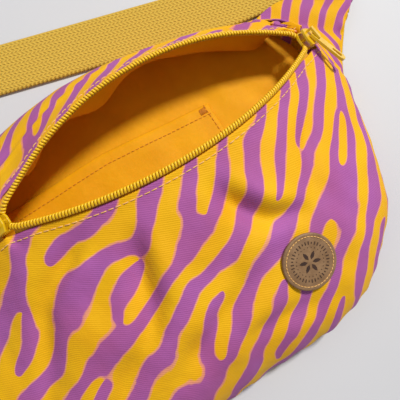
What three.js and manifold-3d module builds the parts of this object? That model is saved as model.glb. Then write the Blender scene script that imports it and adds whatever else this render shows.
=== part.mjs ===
// Waist pack lying on its back, zip open, belt closed behind it.
// Millimetres. +X to the right end of the zip, +Y towards the top edge, +Z up from the surface.
// The origin is the middle of the flat back panel's outer face.
import * as THREE from 'three';
import { mergeVertices } from 'three/addons/utils/BufferGeometryUtils.js';
import Module from 'manifold-3d';

const wasm = await Module();
wasm.setup();

// ---- driving dimensions ----
const GAP = 0.3;
const FABRIC = 1.0;
const BACK_THICKNESS = 1.2;
const LINING = 0.7;
const LINING_INSET = 2.2;
const ZIP_Y = 37.5;
const OPEN_LEFT = { x: -52.5, z: 40.4 };
const OPEN_RIGHT = { x: 116.5, z: 22.8 };
const ZIP_LEFT_END = -118;
const BOW = 29.5;
const FRONT_LIP_ANGLE = 133;
const BACK_LIP_ANGLE = 23;
const LIP_EASE = 8;
const LEFT_CHAIN_RADIUS = 137;
const COIL_INNER = 0.15;
const COIL_OUTER = 1.65;
const COIL_HALF_HEIGHT = 1.0;
const TAPE_INNER = 1.95;
const TAPE_OUTER = 5.7;
const TAPE_HALF_HEIGHT = 0.3;
const FOLD_EDGE = 6.3;
const PATCH_RADIUS = 13;
const PATCH_THICKNESS = 1.6;
const PATCH_LIFT = 0.6;
const PATCH_PLACE = { u: 1.17, v: 0.54 };
const WEBBING_WIDTH = 25;
const WEBBING = 1.5;
const WING_TIP = { x: 147.6, y: 54.7 };
const WING_EXIT_ANGLE = 50;
const WING_WEBBING_Z = 4.6;
const FOLD_RADIUS = 1.8;
const BELT_POINT = { x: 32, y: 101.2 };
const BELT_ANGLE = -15.75;
const BUCKLE_DISTANCE = 110;
const BUCKLE_Z = 4.9;

const degrees = Math.PI / 180;
const V = (x, y, z) => new THREE.Vector3(x, y, z);
const smooth = (low, high, x) => THREE.MathUtils.smoothstep(x, low, high);
const mix = THREE.MathUtils.lerp;
const range = (from, to, count) =>
  Array.from({ length: count + 1 }, (_, i) => mix(from, to, i / count));

// ---- closed meshes from rows of points ----
function signedVolume(points, faces) {
  let sum = 0;
  for (const [a, b, c] of faces) {
    sum += points[a].dot(new THREE.Vector3().crossVectors(points[b], points[c]));
  }
  return sum / 6;
}

function closedGeometry(points, faces) {
  const turned = signedVolume(points, faces) < 0;
  const index = faces.flatMap(([a, b, c]) => (turned ? [a, c, b] : [a, b, c]));
  const geometry = new THREE.BufferGeometry();
  geometry.setAttribute('position',
    new THREE.Float32BufferAttribute(points.flatMap((p) => p.toArray()), 3));
  geometry.setIndex(index);
  return geometry;
}

// A sheet with thickness: top and bottom hold the same rows and columns of points.
function sheetSolid(top, bottom) {
  const rows = top.length;
  const columns = top[0].length;
  const points = [...top.flat(), ...bottom.flat()];
  const at = (side, i, j) => side * rows * columns + i * columns + j;
  const faces = [];
  const quad = (a, b, c, d) => faces.push([a, b, c], [a, c, d]);
  for (let i = 0; i < rows - 1; i++) {
    for (let j = 0; j < columns - 1; j++) {
      quad(at(0, i, j), at(0, i + 1, j), at(0, i + 1, j + 1), at(0, i, j + 1));
      quad(at(1, i, j), at(1, i, j + 1), at(1, i + 1, j + 1), at(1, i + 1, j));
    }
  }
  for (let i = 0; i < rows - 1; i++) {
    quad(at(0, i, 0), at(1, i, 0), at(1, i + 1, 0), at(0, i + 1, 0));
    quad(at(0, i, columns - 1), at(0, i + 1, columns - 1), at(1, i + 1, columns - 1), at(1, i,
      columns - 1));
  }
  for (let j = 0; j < columns - 1; j++) {
    quad(at(0, 0, j), at(0, 0, j + 1), at(1, 0, j + 1), at(1, 0, j));
    quad(at(0, rows - 1, j), at(1, rows - 1, j), at(1, rows - 1, j + 1), at(0, rows - 1, j + 1));
  }
  return closedGeometry(points, faces);
}

// A solid swept through stations {p, d, n}: each section corner is p + d*a + n*b.
function sweptSolid(stations, section) {
  const sides = section.length;
  const points = stations.flatMap(({ p, d, n }) =>
    section.map(([a, b]) => p.clone().addScaledVector(d, a).addScaledVector(n, b)));
  const faces = [];
  for (let i = 0; i < stations.length - 1; i++) {
    for (let k = 0; k < sides; k++) {
      const a = i * sides + k;
      const b = i * sides + ((k + 1) % sides);
      faces.push([a, b, b + sides], [a, b + sides, a + sides]);
    }
  }
  const last = (stations.length - 1) * sides;
  for (let k = 1; k < sides - 1; k++) {
    faces.push([0, k + 1, k], [last, last + k, last + k + 1]);
  }
  return closedGeometry(points, faces);
}

function surfaceNormal(surface, u, v, du, dv) {
  const alongU = surface(u + du, v).sub(surface(u - du, v));
  const alongV = surface(u, v + dv).sub(surface(u, v - dv));
  const normal = alongU.cross(alongV).normalize();
  return normal;
}

// A sheet whose outer face is the surface lowered by inset, and which is as thick as thickness.
function panel(surface, uList, vList, inset, thickness, flip) {
  const top = [];
  const bottom = [];
  for (const u of uList) {
    const high = [];
    const low = [];
    for (const v of vList) {
      const vSafe = THREE.MathUtils.clamp(v, 0.01, 0.99);
      const n = surfaceNormal(surface, u, vSafe, 0.01, 0.01).multiplyScalar(flip);
      high.push(surface(u, v).addScaledVector(n, -inset));
      low.push(surface(u, v).addScaledVector(n, -inset - thickness));
    }
    top.push(high);
    bottom.push(low);
  }
  return sheetSolid(top, bottom);
}

function keyed(keys) {
  const curve = new THREE.CatmullRomCurve3(keys.map(([x, y, z]) => V(x, y, z ?? 0)), false,
    'catmullrom', 0.5);
  return (u) => curve.getPoint(THREE.MathUtils.clamp(u / (keys.length - 1), 0, 1));
}

// ---- the zip's line ----
const chordStart = V(OPEN_LEFT.x, ZIP_Y, OPEN_LEFT.z);
const chordEnd = V(OPEN_RIGHT.x, ZIP_Y, OPEN_RIGHT.z);
const chordMiddle = chordStart.clone().lerp(chordEnd, 0.5);
const chordDirection = chordEnd.clone().sub(chordStart).normalize();
const halfChord = chordStart.distanceTo(chordEnd) / 2;
const chordUp = V(-chordDirection.z, 0, chordDirection.x);
const archRadius = (halfChord ** 2 + BOW ** 2) / (2 * BOW);
const archCentre = chordMiddle.clone().addScaledVector(chordUp, BOW - archRadius);
const archHalfAngle = Math.asin(halfChord / archRadius);
const chordTilt = Math.atan2(chordDirection.z, chordDirection.x);
const leftSlope = archHalfAngle + chordTilt;
const rightSlope = -archHalfAngle + chordTilt;
const leftCentre = chordStart.clone().add(
  V(-Math.sin(leftSlope), 0, Math.cos(leftSlope)).multiplyScalar(LEFT_CHAIN_RADIUS));

function archHeight(x) {
  const along = ((x - OPEN_LEFT.x) / (OPEN_RIGHT.x - OPEN_LEFT.x)) * 2 - 1;
  const height = Math.sqrt(archRadius ** 2 - (along * halfChord) ** 2) - (archRadius - BOW);
  const fromEnd = (1 - Math.abs(along)) * halfChord;
  return height * smooth(0, LIP_EASE, fromEnd);
}

// side is -1 on the front lip and 1 on the back lip; angle is the lip's own angle from +Y.
function zipPoint(side, x) {
  if (x <= OPEN_LEFT.x) {
    const offset = x - leftCentre.x;
    return V(x, ZIP_Y, leftCentre.z - Math.sqrt(LEFT_CHAIN_RADIUS ** 2 - offset ** 2));
  }
  if (x >= OPEN_RIGHT.x) {
    return V(x, ZIP_Y, OPEN_RIGHT.z + (x - OPEN_RIGHT.x) * Math.tan(rightSlope));
  }
  const angle = (side < 0 ? FRONT_LIP_ANGLE : BACK_LIP_ANGLE) * degrees;
  const base = chordStart.clone().lerp(chordEnd, (x - OPEN_LEFT.x) / (OPEN_RIGHT.x - OPEN_LEFT.x));
  const height = archHeight(x);
  return base.addScaledVector(V(0, 1, 0), height * Math.cos(angle)).addScaledVector(chordUp,
    height * Math.sin(angle));
}

function zipStation(side, x) {
  const inside = x > OPEN_LEFT.x && x < OPEN_RIGHT.x;
  const opened = inside ? smooth(0, 14, archHeight(x)) : 0;
  const dip = side < 0 ? mix(0, 32, opened) : mix(0, 52, opened);
  const p = zipPoint(side, x);
  const t = zipPoint(side, x + 0.5).sub(zipPoint(side, x - 0.5)).normalize();
  const d = V(0, side * Math.cos(dip * degrees), -Math.sin(dip * degrees));
  d.addScaledVector(t, -d.dot(t)).normalize();
  const n = new THREE.Vector3().crossVectors(t, d).multiplyScalar(side).normalize();
  return { p, d, n };
}

const foldEdge = (side, x) => {
  const { p, d } = zipStation(side, x);
  return p.addScaledVector(d, FOLD_EDGE);
};

// ---- front panel with its wings: u counts key columns from the middle, negative to the left ----
const frontInnerX = keyed([[0], [40], [70], [90], [104], [113], [121.5]].map(([x]) => [x, 0, 0]));
const WING_COLUMN = 6;
const LAST_COLUMN = 9;
const frontOuter = keyed([
  [0, -88, 0], [46, -88, 0], [80, -80, 0], [104, -58, 0], [119, -29, 0], [127, -2, 0],
  [132, 17, 0], [139, 29, 0], [148, 38, 0], [158, 46, 0]]);
const wingSeam = keyed([[122.2, 39.5, 16.5], [117, 54, 14], [108, 65.3, 4.6]]);
const wingTop = keyed([[108, 65.3, 4.6], [121, 66.5, 6.3], [137.3, 63.4, 7.4]]);
const shoulderHeight = keyed([[50, 0], [50, 0], [48, 0], [42, 0], [32, 0], [24, 0], [14, 0], [12, 0],
  [9, 0], [7, 0]]);
const bellyHeight = keyed([[40, 0], [40, 0], [37, 0], [30, 0], [22, 0], [16, 0], [12, 0], [10, 0], [8,
  0], [7, 0]]);
const EDGE_Z = 1.75;
const TIP_RISE = 2.2;
const tipEdgeZ = (u, x) => EDGE_Z + TIP_RISE * smooth(120, 144, x) + 3 * smooth(7.3, 8.3, u);

function innerEdge(u) {
  const column = Math.abs(u);
  const mirror = Math.sign(u) || 1;
  if (column <= WING_COLUMN) return foldEdge(-1, mirror * frontInnerX(column).x);
  const point = column <= 7.5 ? wingSeam((column - WING_COLUMN) / 0.75) : wingTop((column - 7.5) / 0.75);
  return V(mirror * point.x, point.y, point.z);
}

function frontSurface(u, v) {
  const column = Math.abs(u);
  const mirror = Math.sign(u) || 1;
  const join = smooth(WING_COLUMN - 0.6, WING_COLUMN, column);
  const start = innerEdge(u);
  const end = frontOuter(column);
  end.x *= mirror;
  end.z = tipEdgeZ(column, Math.abs(end.x));
  const outward = end.clone().sub(start);
  const shoulder = start.clone().addScaledVector(outward, 0.28);
  shoulder.z = mix(Math.min(shoulderHeight(column).x, start.z - 2), mix(start.z, end.z, 0.35), join);
  const belly = end.clone().addScaledVector(outward, mix(0.04, -0.18, join));
  belly.z = mix(bellyHeight(column).x, end.z + 4, join);
  return new THREE.CubicBezierCurve3(start, shoulder, belly, end).getPoint(v);
}

// ---- top panel between the back lip and the top edge ----
const topEdge = keyed([[0, 88.5], [38, 84], [66, 76.5], [84, 71], [95, 68], [102, 66], [106.5, 65.3]]);

function topSurface(u, v) {
  const column = Math.abs(u);
  const mirror = Math.sign(u) || 1;
  const start = foldEdge(1, mirror * frontInnerX(column).x);
  const end = topEdge(column);
  end.x *= mirror;
  end.z = EDGE_Z;
  const drop = start.z - end.z;
  const shoulder = start.clone().lerp(end, 0.4);
  shoulder.z = end.z + drop * 0.72;
  const brow = end.clone().add(V(0, 1.5, drop * 0.38));
  return new THREE.CubicBezierCurve3(start, shoulder, brow, end).getPoint(v);
}

// ---- back panel: flat, rising under the wing tips ----
const backTop = keyed([[0, 88], [38, 83.5], [66, 76], [84, 70.5], [96, 67], [107, 64.5], [120, 66],
  [137, 63]]);
const backBottom = keyed([[0, -87.5], [46, -87.5], [80, -79.5], [104, -57.5], [119, -28.5], [131, 14],
  [147, 37], [157.5, 46]]);

function backSurface(u, v) {
  const column = Math.abs(u);
  const mirror = Math.sign(u) || 1;
  const point = backTop(column).lerp(backBottom(column), v);
  return V(mirror * point.x, point.y, BACK_THICKNESS + TIP_RISE * smooth(122, 146, point.x));
}

// ---- lining: the floor over the back panel and the strip behind the upper lip ----
const INNER_COLUMN = 5.5;
const floorEdge = (u, v) => {
  const point = backTop(Math.abs(u) * 0.86).lerp(backBottom(Math.abs(u) * 0.86), v);
  return V((Math.sign(u) || 1) * point.x, point.y, BACK_THICKNESS + GAP + LINING);
};

function liningBackSurface(u, v) {
  if (v >= 0.45) return floorEdge(u, mix(0.075, 0.93, (v - 0.45) / 0.55));
  const down = (v / 0.45) * 0.93;
  const n = surfaceNormal(topSurface, u, THREE.MathUtils.clamp(down, 0.01, 0.99), 0.01, 0.01);
  return topSurface(u, down).addScaledVector(n, n.z > 0 ? -LINING_INSET : LINING_INSET);
}

const group = new THREE.Group();
function material(color, roughness = 0.85, metalness = 0) {
  return new THREE.MeshStandardMaterial({ color, roughness, metalness });
}
function add(name, geometry, color, roughness) {
  const mesh = new THREE.Mesh(geometry, material(color, roughness));
  mesh.name = name;
  group.add(mesh);
  return mesh;
}

const YELLOW = 0xf6c21c;
const ORCHID = 0xb565c0;
const MUSTARD = 0xe5980a;
const WEB_YELLOW = 0xe0b93a;
const TAN = 0x9c7b58;

const mirrored = (list) => [...list.slice(1).map((u) => -u).reverse(), ...list];
const frontColumns = mirrored([...range(0, 5.95, 11), ...range(6.2, LAST_COLUMN, 6)]);
const frontRows = [0, 0.04, 0.12, 0.24, 0.38, 0.52, 0.66, 0.78, 0.88, 0.95, 1];
add('front_panel', panel(frontSurface, frontColumns, frontRows, 0, FABRIC, -1), ORCHID);
add('top_panel', panel(topSurface, mirrored(range(0, 5.84, 12)), [0, 0.15, 0.4, 0.65, 0.85, 1], 0,
  FABRIC, 1), ORCHID);
const backColumns = mirrored([...range(0.35, 6, 7), 6.5, LAST_COLUMN - 2]).filter((u) => u !== 0);
add('back_panel', panel(backSurface, [...backColumns.filter((u) => u < 0),
  ...backColumns.filter((u) => u > 0)],
  [0, 0.14, 0.4, 0.7, 0.86, 1], 0, BACK_THICKNESS, -1), ORCHID);
const liningColumns = mirrored(range(0, INNER_COLUMN, 9));
add('lining_front', panel(frontSurface, liningColumns, [0.02, 0.12, 0.3, 0.5, 0.7, 0.84, 0.93],
  LINING_INSET, LINING, -1), MUSTARD);
add('lining_back', panel(liningBackSurface, liningColumns, [0.02, 0.15, 0.3, 0.42, 0.47, 0.6, 0.8, 1],
  0, LINING, 1), MUSTARD);

// ---- slip pocket on the back lining ----
const POCKET = { left: -62, right: 61, top: 48, bottom: -44, z: 2.9, thickness: 1 };
const pocketOutline = new THREE.Shape();
pocketOutline.moveTo(POCKET.left, POCKET.bottom);
pocketOutline.lineTo(POCKET.right - 3, POCKET.bottom);
pocketOutline.lineTo(POCKET.right, POCKET.top - 7);
pocketOutline.lineTo(0, POCKET.top);
pocketOutline.lineTo(POCKET.left, POCKET.top);
const pocket = new THREE.ExtrudeGeometry(pocketOutline, { depth: POCKET.thickness, bevelEnabled: false });
add('slip_pocket', pocket, MUSTARD).position.z = POCKET.z;

// ---- round leather patch on the front panel ----
const patchCentre = frontSurface(PATCH_PLACE.u, PATCH_PLACE.v);
const patchNormal = surfaceNormal(frontSurface, PATCH_PLACE.u, PATCH_PLACE.v, 0.01, 0.01).negate();
if (patchNormal.z < 0) patchNormal.negate();
const patch = add('leather_patch', new THREE.CylinderGeometry(PATCH_RADIUS, PATCH_RADIUS,
  PATCH_THICKNESS, 40), TAN);
patch.quaternion.setFromUnitVectors(V(0, 1, 0), patchNormal);
patch.position.copy(patchCentre).addScaledVector(patchNormal, PATCH_THICKNESS / 2 + PATCH_LIFT);

// ---- zip tapes and coils ----
const OPEN_FROM = OPEN_LEFT.x + 6.6;
const OPEN_TO = OPEN_RIGHT.x - 6.8;
const CLOSED_TO = OPEN_LEFT.x - 0.6;
const coilSection = [
  [COIL_INNER, -COIL_HALF_HEIGHT * 0.6], [COIL_INNER + 0.45, -COIL_HALF_HEIGHT], [COIL_OUTER,
  -COIL_HALF_HEIGHT],
  [COIL_OUTER, COIL_HALF_HEIGHT], [COIL_INNER + 0.45, COIL_HALF_HEIGHT], [COIL_INNER,
  COIL_HALF_HEIGHT * 0.6]];
const tapeSection = [
  [TAPE_INNER, -TAPE_HALF_HEIGHT], [TAPE_OUTER, -TAPE_HALF_HEIGHT],
  [TAPE_OUTER, TAPE_HALF_HEIGHT], [TAPE_INNER, TAPE_HALF_HEIGHT]];
for (const [word, side] of [['front', -1], ['back', 1]]) {
  const open = range(OPEN_FROM, OPEN_TO, 26).map((x) => zipStation(side, x));
  const closed = range(ZIP_LEFT_END, CLOSED_TO, 12).map((x) => zipStation(side, x));
  add(`zip_coil_${word}_open`, sweptSolid(open, coilSection), YELLOW);
  add(`zip_tape_${word}_open`, sweptSolid(open, tapeSection), YELLOW);
  add(`zip_coil_${word}_closed`, sweptSolid(closed, coilSection), YELLOW);
  add(`zip_tape_${word}_closed`, sweptSolid(closed, tapeSection), YELLOW);
}

// ---- sliders: two plates, a post, side flanges and a crown for the puller ----
function toManifold(geometry) {
  const bare = geometry.clone();
  bare.deleteAttribute('normal');
  bare.deleteAttribute('uv');
  const merged = mergeVertices(bare, 1e-4);
  return new wasm.Manifold(new wasm.Mesh({
    numProp: 3,
    vertProperties: new Float32Array(merged.attributes.position.array),
    triVerts: new Uint32Array(merged.index.array),
  }));
}

function fromManifold(solid) {
  const mesh = solid.getMesh();
  const geometry = new THREE.BufferGeometry();
  geometry.setAttribute('position', new THREE.BufferAttribute(new Float32Array(mesh.vertProperties), 3));
  geometry.setIndex(new THREE.BufferAttribute(new Uint32Array(mesh.triVerts), 1));
  return geometry;
}

function block(x0, x1, y0, y1, z0, z1) {
  const box = new THREE.BoxGeometry(x1 - x0, y1 - y0, z1 - z0);
  box.translate((x0 + x1) / 2, (y0 + y1) / 2, (z0 + z1) / 2);
  return toManifold(box);
}

function plate(points, z0, z1) {
  const outline = new THREE.Shape(points.map(([x, y]) => new THREE.Vector2(x, y)));
  const geometry = new THREE.ExtrudeGeometry(outline, { depth: z1 - z0, bevelEnabled: false });
  geometry.translate(0, 0, z0);
  return toManifold(geometry);
}

const SLIDER = { nose: -5.5, tail: 5.5, noseHalf: 4.6, tailHalf: 3.9, plateIn: 1.35, plateOut: 2.4,
  flangeTip: 0.65 };
const CROWN = { inner: 2.3, outer: 3.4, halfWidth: 1.3, top: 5.7, underside: 4.6 };
const PIVOT_Z = 3.5;
const PULLER = { length: 20, halfWidth: 2.5, tipHalfWidth: 2.9, thickness: 1.4, barBack: -0.7,
  holeStart: 0.7, holeEnd: 4 };

function sliderSolid(crownTurn) {
  const s = SLIDER;
  const outline = [
    [s.nose, -1.6], [s.nose + 1.4, -s.noseHalf], [0, -s.noseHalf], [s.tail, -s.tailHalf],
    [s.tail, s.tailHalf], [0, s.noseHalf], [s.nose + 1.4, s.noseHalf], [s.nose, 1.6]];
  const post = [[s.nose + 0.6, 0], [s.nose + 2, -0.9], [s.nose + 4.2, 0], [s.nose + 2, 0.9]];
  let solid = plate(outline, s.plateIn, s.plateOut).add(plate(outline, -s.plateOut, -s.plateIn));
  solid = solid.add(plate(post, -s.plateIn - 0.2, s.plateIn + 0.2));
  for (const side of [-1, 1]) {
    const rail = [
      [s.nose + 1.8, side * (s.noseHalf - 0.7)], [0, side * (s.noseHalf - 0.7)], [s.tail,
      side * (s.tailHalf - 0.7)],
      [s.tail, side * s.tailHalf], [0, side * s.noseHalf], [s.nose + 1.8, side * s.noseHalf]];
    solid = solid.add(plate(rail, s.flangeTip, s.plateIn + 0.2)).add(plate(rail, -s.plateIn - 0.2,
      -s.flangeTip));
  }
  const c = CROWN;
  const arch = block(-c.outer, c.outer, -c.halfWidth, c.halfWidth, s.plateOut - 0.2, c.top)
    .subtract(block(-c.inner, c.inner, -c.halfWidth - 1, c.halfWidth + 1, s.plateOut - 1, c.underside));
  return solid.add(arch.rotate([0, 0, crownTurn]));
}

function pullerSolid() {
  const p = PULLER;
  const half = p.thickness / 2;
  const tip = range(-90, 90, 8).map((a) => [
    p.length - p.tipHalfWidth + p.tipHalfWidth * Math.cos(a * degrees),
      p.tipHalfWidth * Math.sin(a * degrees)]);
  const outline = [[p.barBack, -p.halfWidth], ...tip, [p.barBack, p.halfWidth]];
  const slot = [[p.length - 8, -0.9], [p.length - 3, -1.5], [p.length - 2, 0], [p.length - 3, 1.5],
    [p.length - 8, 0.9]];
  return plate(outline, -half, half)
    .subtract(block(p.holeStart, p.holeEnd, -1.6, 1.6, -2, 2))
    .subtract(plate(slot, -2, 2));
}

function placed(geometry, origin, xAxis, zAxis) {
  const yAxis = new THREE.Vector3().crossVectors(zAxis, xAxis);
  const frame = new THREE.Matrix4().makeBasis(xAxis, yAxis, zAxis).setPosition(origin);
  return geometry.applyMatrix4(frame);
}

const sliders = [
  { word: 'right', origin: chordEnd, xAxis: V(Math.cos(rightSlope), 0, Math.sin(rightSlope)),
    pull: V(0.32, -0.94, -0.04) },
  { word: 'left', origin: chordStart, xAxis: V(-Math.cos(leftSlope), 0, -Math.sin(leftSlope)),
    pull: null }];
for (const { word, origin, xAxis, pull } of sliders) {
  const zAxis = word === 'right' ? V(-xAxis.z, 0, xAxis.x) : V(xAxis.z, 0, -xAxis.x);
  const yAxis = new THREE.Vector3().crossVectors(zAxis, xAxis);
  const lifted = xAxis.clone().multiplyScalar(Math.cos(5 * degrees)).addScaledVector(zAxis,
    Math.sin(5 * degrees));
  const along = (pull ?? lifted).clone().normalize();
  const flat = along.clone().addScaledVector(zAxis, -along.dot(zAxis)).normalize();
  const crownTurn = Math.atan2(flat.dot(yAxis), flat.dot(xAxis)) / degrees;
  add(`zip_slider_${word}`, placed(fromManifold(sliderSolid(crownTurn)), origin, xAxis, zAxis), YELLOW,
    0.35);
  const hinge = new THREE.Vector3().crossVectors(along, zAxis).normalize();
  const face = new THREE.Vector3().crossVectors(hinge, along).normalize();
  const up = face.dot(zAxis) > 0 ? face : face.clone().negate();
  const pivot = origin.clone().addScaledVector(zAxis, PIVOT_Z);
  add(`zip_puller_${word}`, placed(fromManifold(pullerSolid()), pivot, along, up), YELLOW, 0.35);
}

// ---- belt webbing: flat strips that leave the wing tips, fold under and run behind the pack ----
const heading = (angle) => V(Math.cos(angle * degrees), Math.sin(angle * degrees), 0);
const leftOf = (d) => V(-d.y, d.x, 0);
const beltPoint = V(BELT_POINT.x, BELT_POINT.y, 0);

// A flat centre line made of straights and arcs: pieces are [length, turn in degrees].
function centreLine(start, angle, pieces) {
  return (s) => {
    const p = start.clone();
    let facing = angle;
    let left = s;
    for (const [length, turn] of pieces) {
      const used = Math.min(Math.max(left, 0), length);
      if (turn === 0) {
        p.addScaledVector(heading(facing), left < 0 ? left : used);
        if (left < 0) return { p, facing };
      } else if (used > 0) {
        const radius = length / (turn * degrees);
        const swept = (used / length) * turn;
        const centre = p.clone().addScaledVector(leftOf(heading(facing)), radius);
        p.copy(centre).addScaledVector(leftOf(heading(facing + swept)), -radius);
        facing += swept;
      }
      left -= used;
      if (left <= 0) return { p, facing };
    }
    p.addScaledVector(heading(facing), left);
    return { p, facing };
  };
}

function crossing(p, d, q, e) {
  const gap = q.clone().sub(p);
  return (gap.x * e.y - gap.y * e.x) / (d.x * e.y - d.y * e.x);
}

function foldedStrip(before, foldAt, after, stretch) {
  const { p: F, facing } = before(foldAt);
  const dA = heading(facing);
  const dB = heading(after(0).facing);
  const n = dA.clone().sub(dB).normalize();
  const e = leftOf(n);
  const half = (Math.PI * FOLD_RADIUS) / 2;
  return (s, t) => {
    const sigma = s - foldAt;
    const local = dA.clone().multiplyScalar(sigma).addScaledVector(leftOf(dA), t);
    const q = local.dot(n);
    const low = WING_WEBBING_Z - 2 * FOLD_RADIUS;
    if (q <= -half) {
      const c = before(s);
      return c.p.addScaledVector(leftOf(heading(c.facing)), t).setZ(WING_WEBBING_Z);
    }
    if (q >= half) {
      const c = after(sigma);
      return stretch(sigma, c.p.addScaledVector(leftOf(heading(c.facing)), -t).setZ(low));
    }
    const turn = (q + half) / FOLD_RADIUS;
    return F.clone().addScaledVector(e, local.dot(e)).addScaledVector(n,
      -half + FOLD_RADIUS * Math.sin(turn))
      .setZ(WING_WEBBING_Z - FOLD_RADIUS * (1 - Math.cos(turn)));
  };
}

function strip(path, stations, across = [-1, -0.33, 0.33, 1]) {
  const top = [];
  const bottom = [];
  for (const [s, lean] of stations) {
    const high = [];
    const low = [];
    for (const k of across) {
      const t = (k * WEBBING_WIDTH) / 2;
      const at = s + lean * t;
      const n = path(at + 0.1, t).sub(path(at - 0.1, t)).cross(path(at, t + 0.1).sub(path(at,
        t - 0.1))).normalize();
      high.push(path(at, t).addScaledVector(n, WEBBING / 2));
      low.push(path(at, t).addScaledVector(n, -WEBBING / 2));
    }
    top.push(high);
    bottom.push(low);
  }
  return sheetSolid(top, bottom);
}

function foldLean(before, foldAt, after) {
  const dA = heading(before(foldAt).facing);
  const n = dA.clone().sub(heading(after(0).facing)).normalize();
  return -leftOf(dA).dot(n) / dA.dot(n);
}

// Stations of a folded strip: close together at the fold, where they lie along it.
function foldStations(from, foldAt, to, lean, step) {
  const near = [-2.9, -2.2, -1.4, -0.7, 0, 0.7, 1.4, 2.2, 2.9].map((q) => foldAt + q * 1.12);
  const before = range(from, foldAt - 9, Math.max(2, Math.round((foldAt - 9 - from) / step)));
  const after = range(foldAt + 9, to, Math.round((to - foldAt - 9) / step));
  const leanAt = (s) => lean * (1 - smooth(4, 22, Math.abs(s - foldAt)));
  return [...before, ...near, ...after].map((s) => [s, leanAt(s)]);
}

// Buckle frame: origin at the female half's mouth, x along the belt towards the male half.
const buckleX = heading(180 + BELT_ANGLE);
const buckleOrigin = beltPoint.clone().addScaledVector(buckleX, BUCKLE_DISTANCE).setZ(BUCKLE_Z);
const onBelt = (x) => buckleOrigin.clone().addScaledVector(buckleX, x).setZ(0);

// right strip
const RETURN_LENGTH = 90;
const RETURN_TURN = 17.75;
const STRAIGHT_FROM = V(78, 0, 0);
STRAIGHT_FROM.y = beltPoint.y + (STRAIGHT_FROM.x - beltPoint.x) * Math.tan(BELT_ANGLE * degrees);
const backwards = centreLine(STRAIGHT_FROM, BELT_ANGLE, [[RETURN_LENGTH, RETURN_TURN]]);
const returnEnd = backwards(RETURN_LENGTH);
const rightTip = V(WING_TIP.x, WING_TIP.y, 0);
const rightExit = crossing(rightTip, heading(WING_EXIT_ANGLE), returnEnd.p, heading(returnEnd.facing));
const rightBefore = centreLine(rightTip, WING_EXIT_ANGLE, [[rightExit, 0]]);
const rightFold = rightBefore(rightExit).p;
const straightLength = rightFold.clone().sub(returnEnd.p).dot(heading(returnEnd.facing));
const rightAfter = centreLine(rightFold, returnEnd.facing + 180, [
  [Math.max(straightLength, 0) + 0.01, 0], [RETURN_LENGTH, -RETURN_TURN]]);
const toBuckle = STRAIGHT_FROM.distanceTo(onBelt(0)) + RETURN_LENGTH + Math.max(straightLength, 0);

// Side profile of the right strip at the female half's bar, as [x, z] in the buckle frame.
const BAR_X = -28.2;
const BAR_HALF = 1.2;
const WRAP = 2.6;
const wrapArc = (centre, from, to, steps) => range(from, to, steps).map((a) => [
  centre + WRAP * Math.cos(a * degrees), WRAP * Math.sin(a * degrees)]);
const loopProfile = new THREE.CatmullRomCurve3([
  [-60, -3.9], [-48, -3.9], [-40, -3.4], [-33, -2.5], ...wrapArc(BAR_X, -90, 90, 6), [-33, 2.2], [-40,
  -0.6],
  [-44, -1.9], [-47, -2.1], [-50, -2.1]].map(([x, z]) => V(x, 0, z)), false, 'centripetal');
const loopStart = toBuckle - 60;
const rightStretch = (sigma, point) => {
  if (sigma <= loopStart) return point;
  const c = loopProfile.getPointAt(Math.min((sigma - loopStart) / loopProfile.getLength(), 1));
  const across = point.clone().setZ(0).sub(beltPoint).dot(leftOf(buckleX));
  const extra = Math.max(sigma - loopStart - loopProfile.getLength(), 0);
  return buckleOrigin.clone().addScaledVector(buckleX, c.x - extra).addScaledVector(leftOf(buckleX), across)
    .setZ(BUCKLE_Z + c.z);
};
const rightPath = foldedStrip(rightBefore, rightExit, rightAfter, rightStretch);
const rightLean = foldLean(rightBefore, rightExit, rightAfter);
const runStations = foldStations(-6, rightExit, rightExit + loopStart - 4, rightLean, 16);
const loopStations = range(rightExit + loopStart + 2,
  rightExit + loopStart + loopProfile.getLength() - 0.5, 34).map((s) => [s, 0]);
add('webbing_right', strip(rightPath, [...runStations, ...loopStations]), WEB_YELLOW);

// left strip
const LEFT_STRAIGHT = 10;
const LEFT_ARC = 110;
const LEFT_TURN = -22;
const leftTip = V(-WING_TIP.x, WING_TIP.y, 0);
const leftArcEnd = centreLine(leftTip, 180 - WING_EXIT_ANGLE, [[LEFT_STRAIGHT, 0], [LEFT_ARC,
  LEFT_TURN]])(LEFT_STRAIGHT + LEFT_ARC);
const leftReach = crossing(leftArcEnd.p, heading(leftArcEnd.facing), beltPoint, buckleX);
const leftBefore = centreLine(leftTip, 180 - WING_EXIT_ANGLE, [[LEFT_STRAIGHT, 0], [LEFT_ARC,
  LEFT_TURN], [leftReach, 0]]);
const leftExit = LEFT_STRAIGHT + LEFT_ARC + leftReach;
const leftFold = leftBefore(leftExit).p;
const leftAfter = centreLine(leftFold, BELT_ANGLE, [[400, 0]]);
const LEFT_END_X = 26.4;
const leftRun = leftFold.distanceTo(onBelt(LEFT_END_X));
const leftStretch = (sigma, point) => point.setZ(point.z + 1.4 * smooth(leftRun - 11, leftRun, sigma));
const leftPath = foldedStrip(leftBefore, leftExit, leftAfter, leftStretch);
add('webbing_left', strip(leftPath, foldStations(-6, leftExit, leftExit + leftRun, foldLean(leftBefore,
  leftExit, leftAfter), 12)), WEB_YELLOW);

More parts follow.
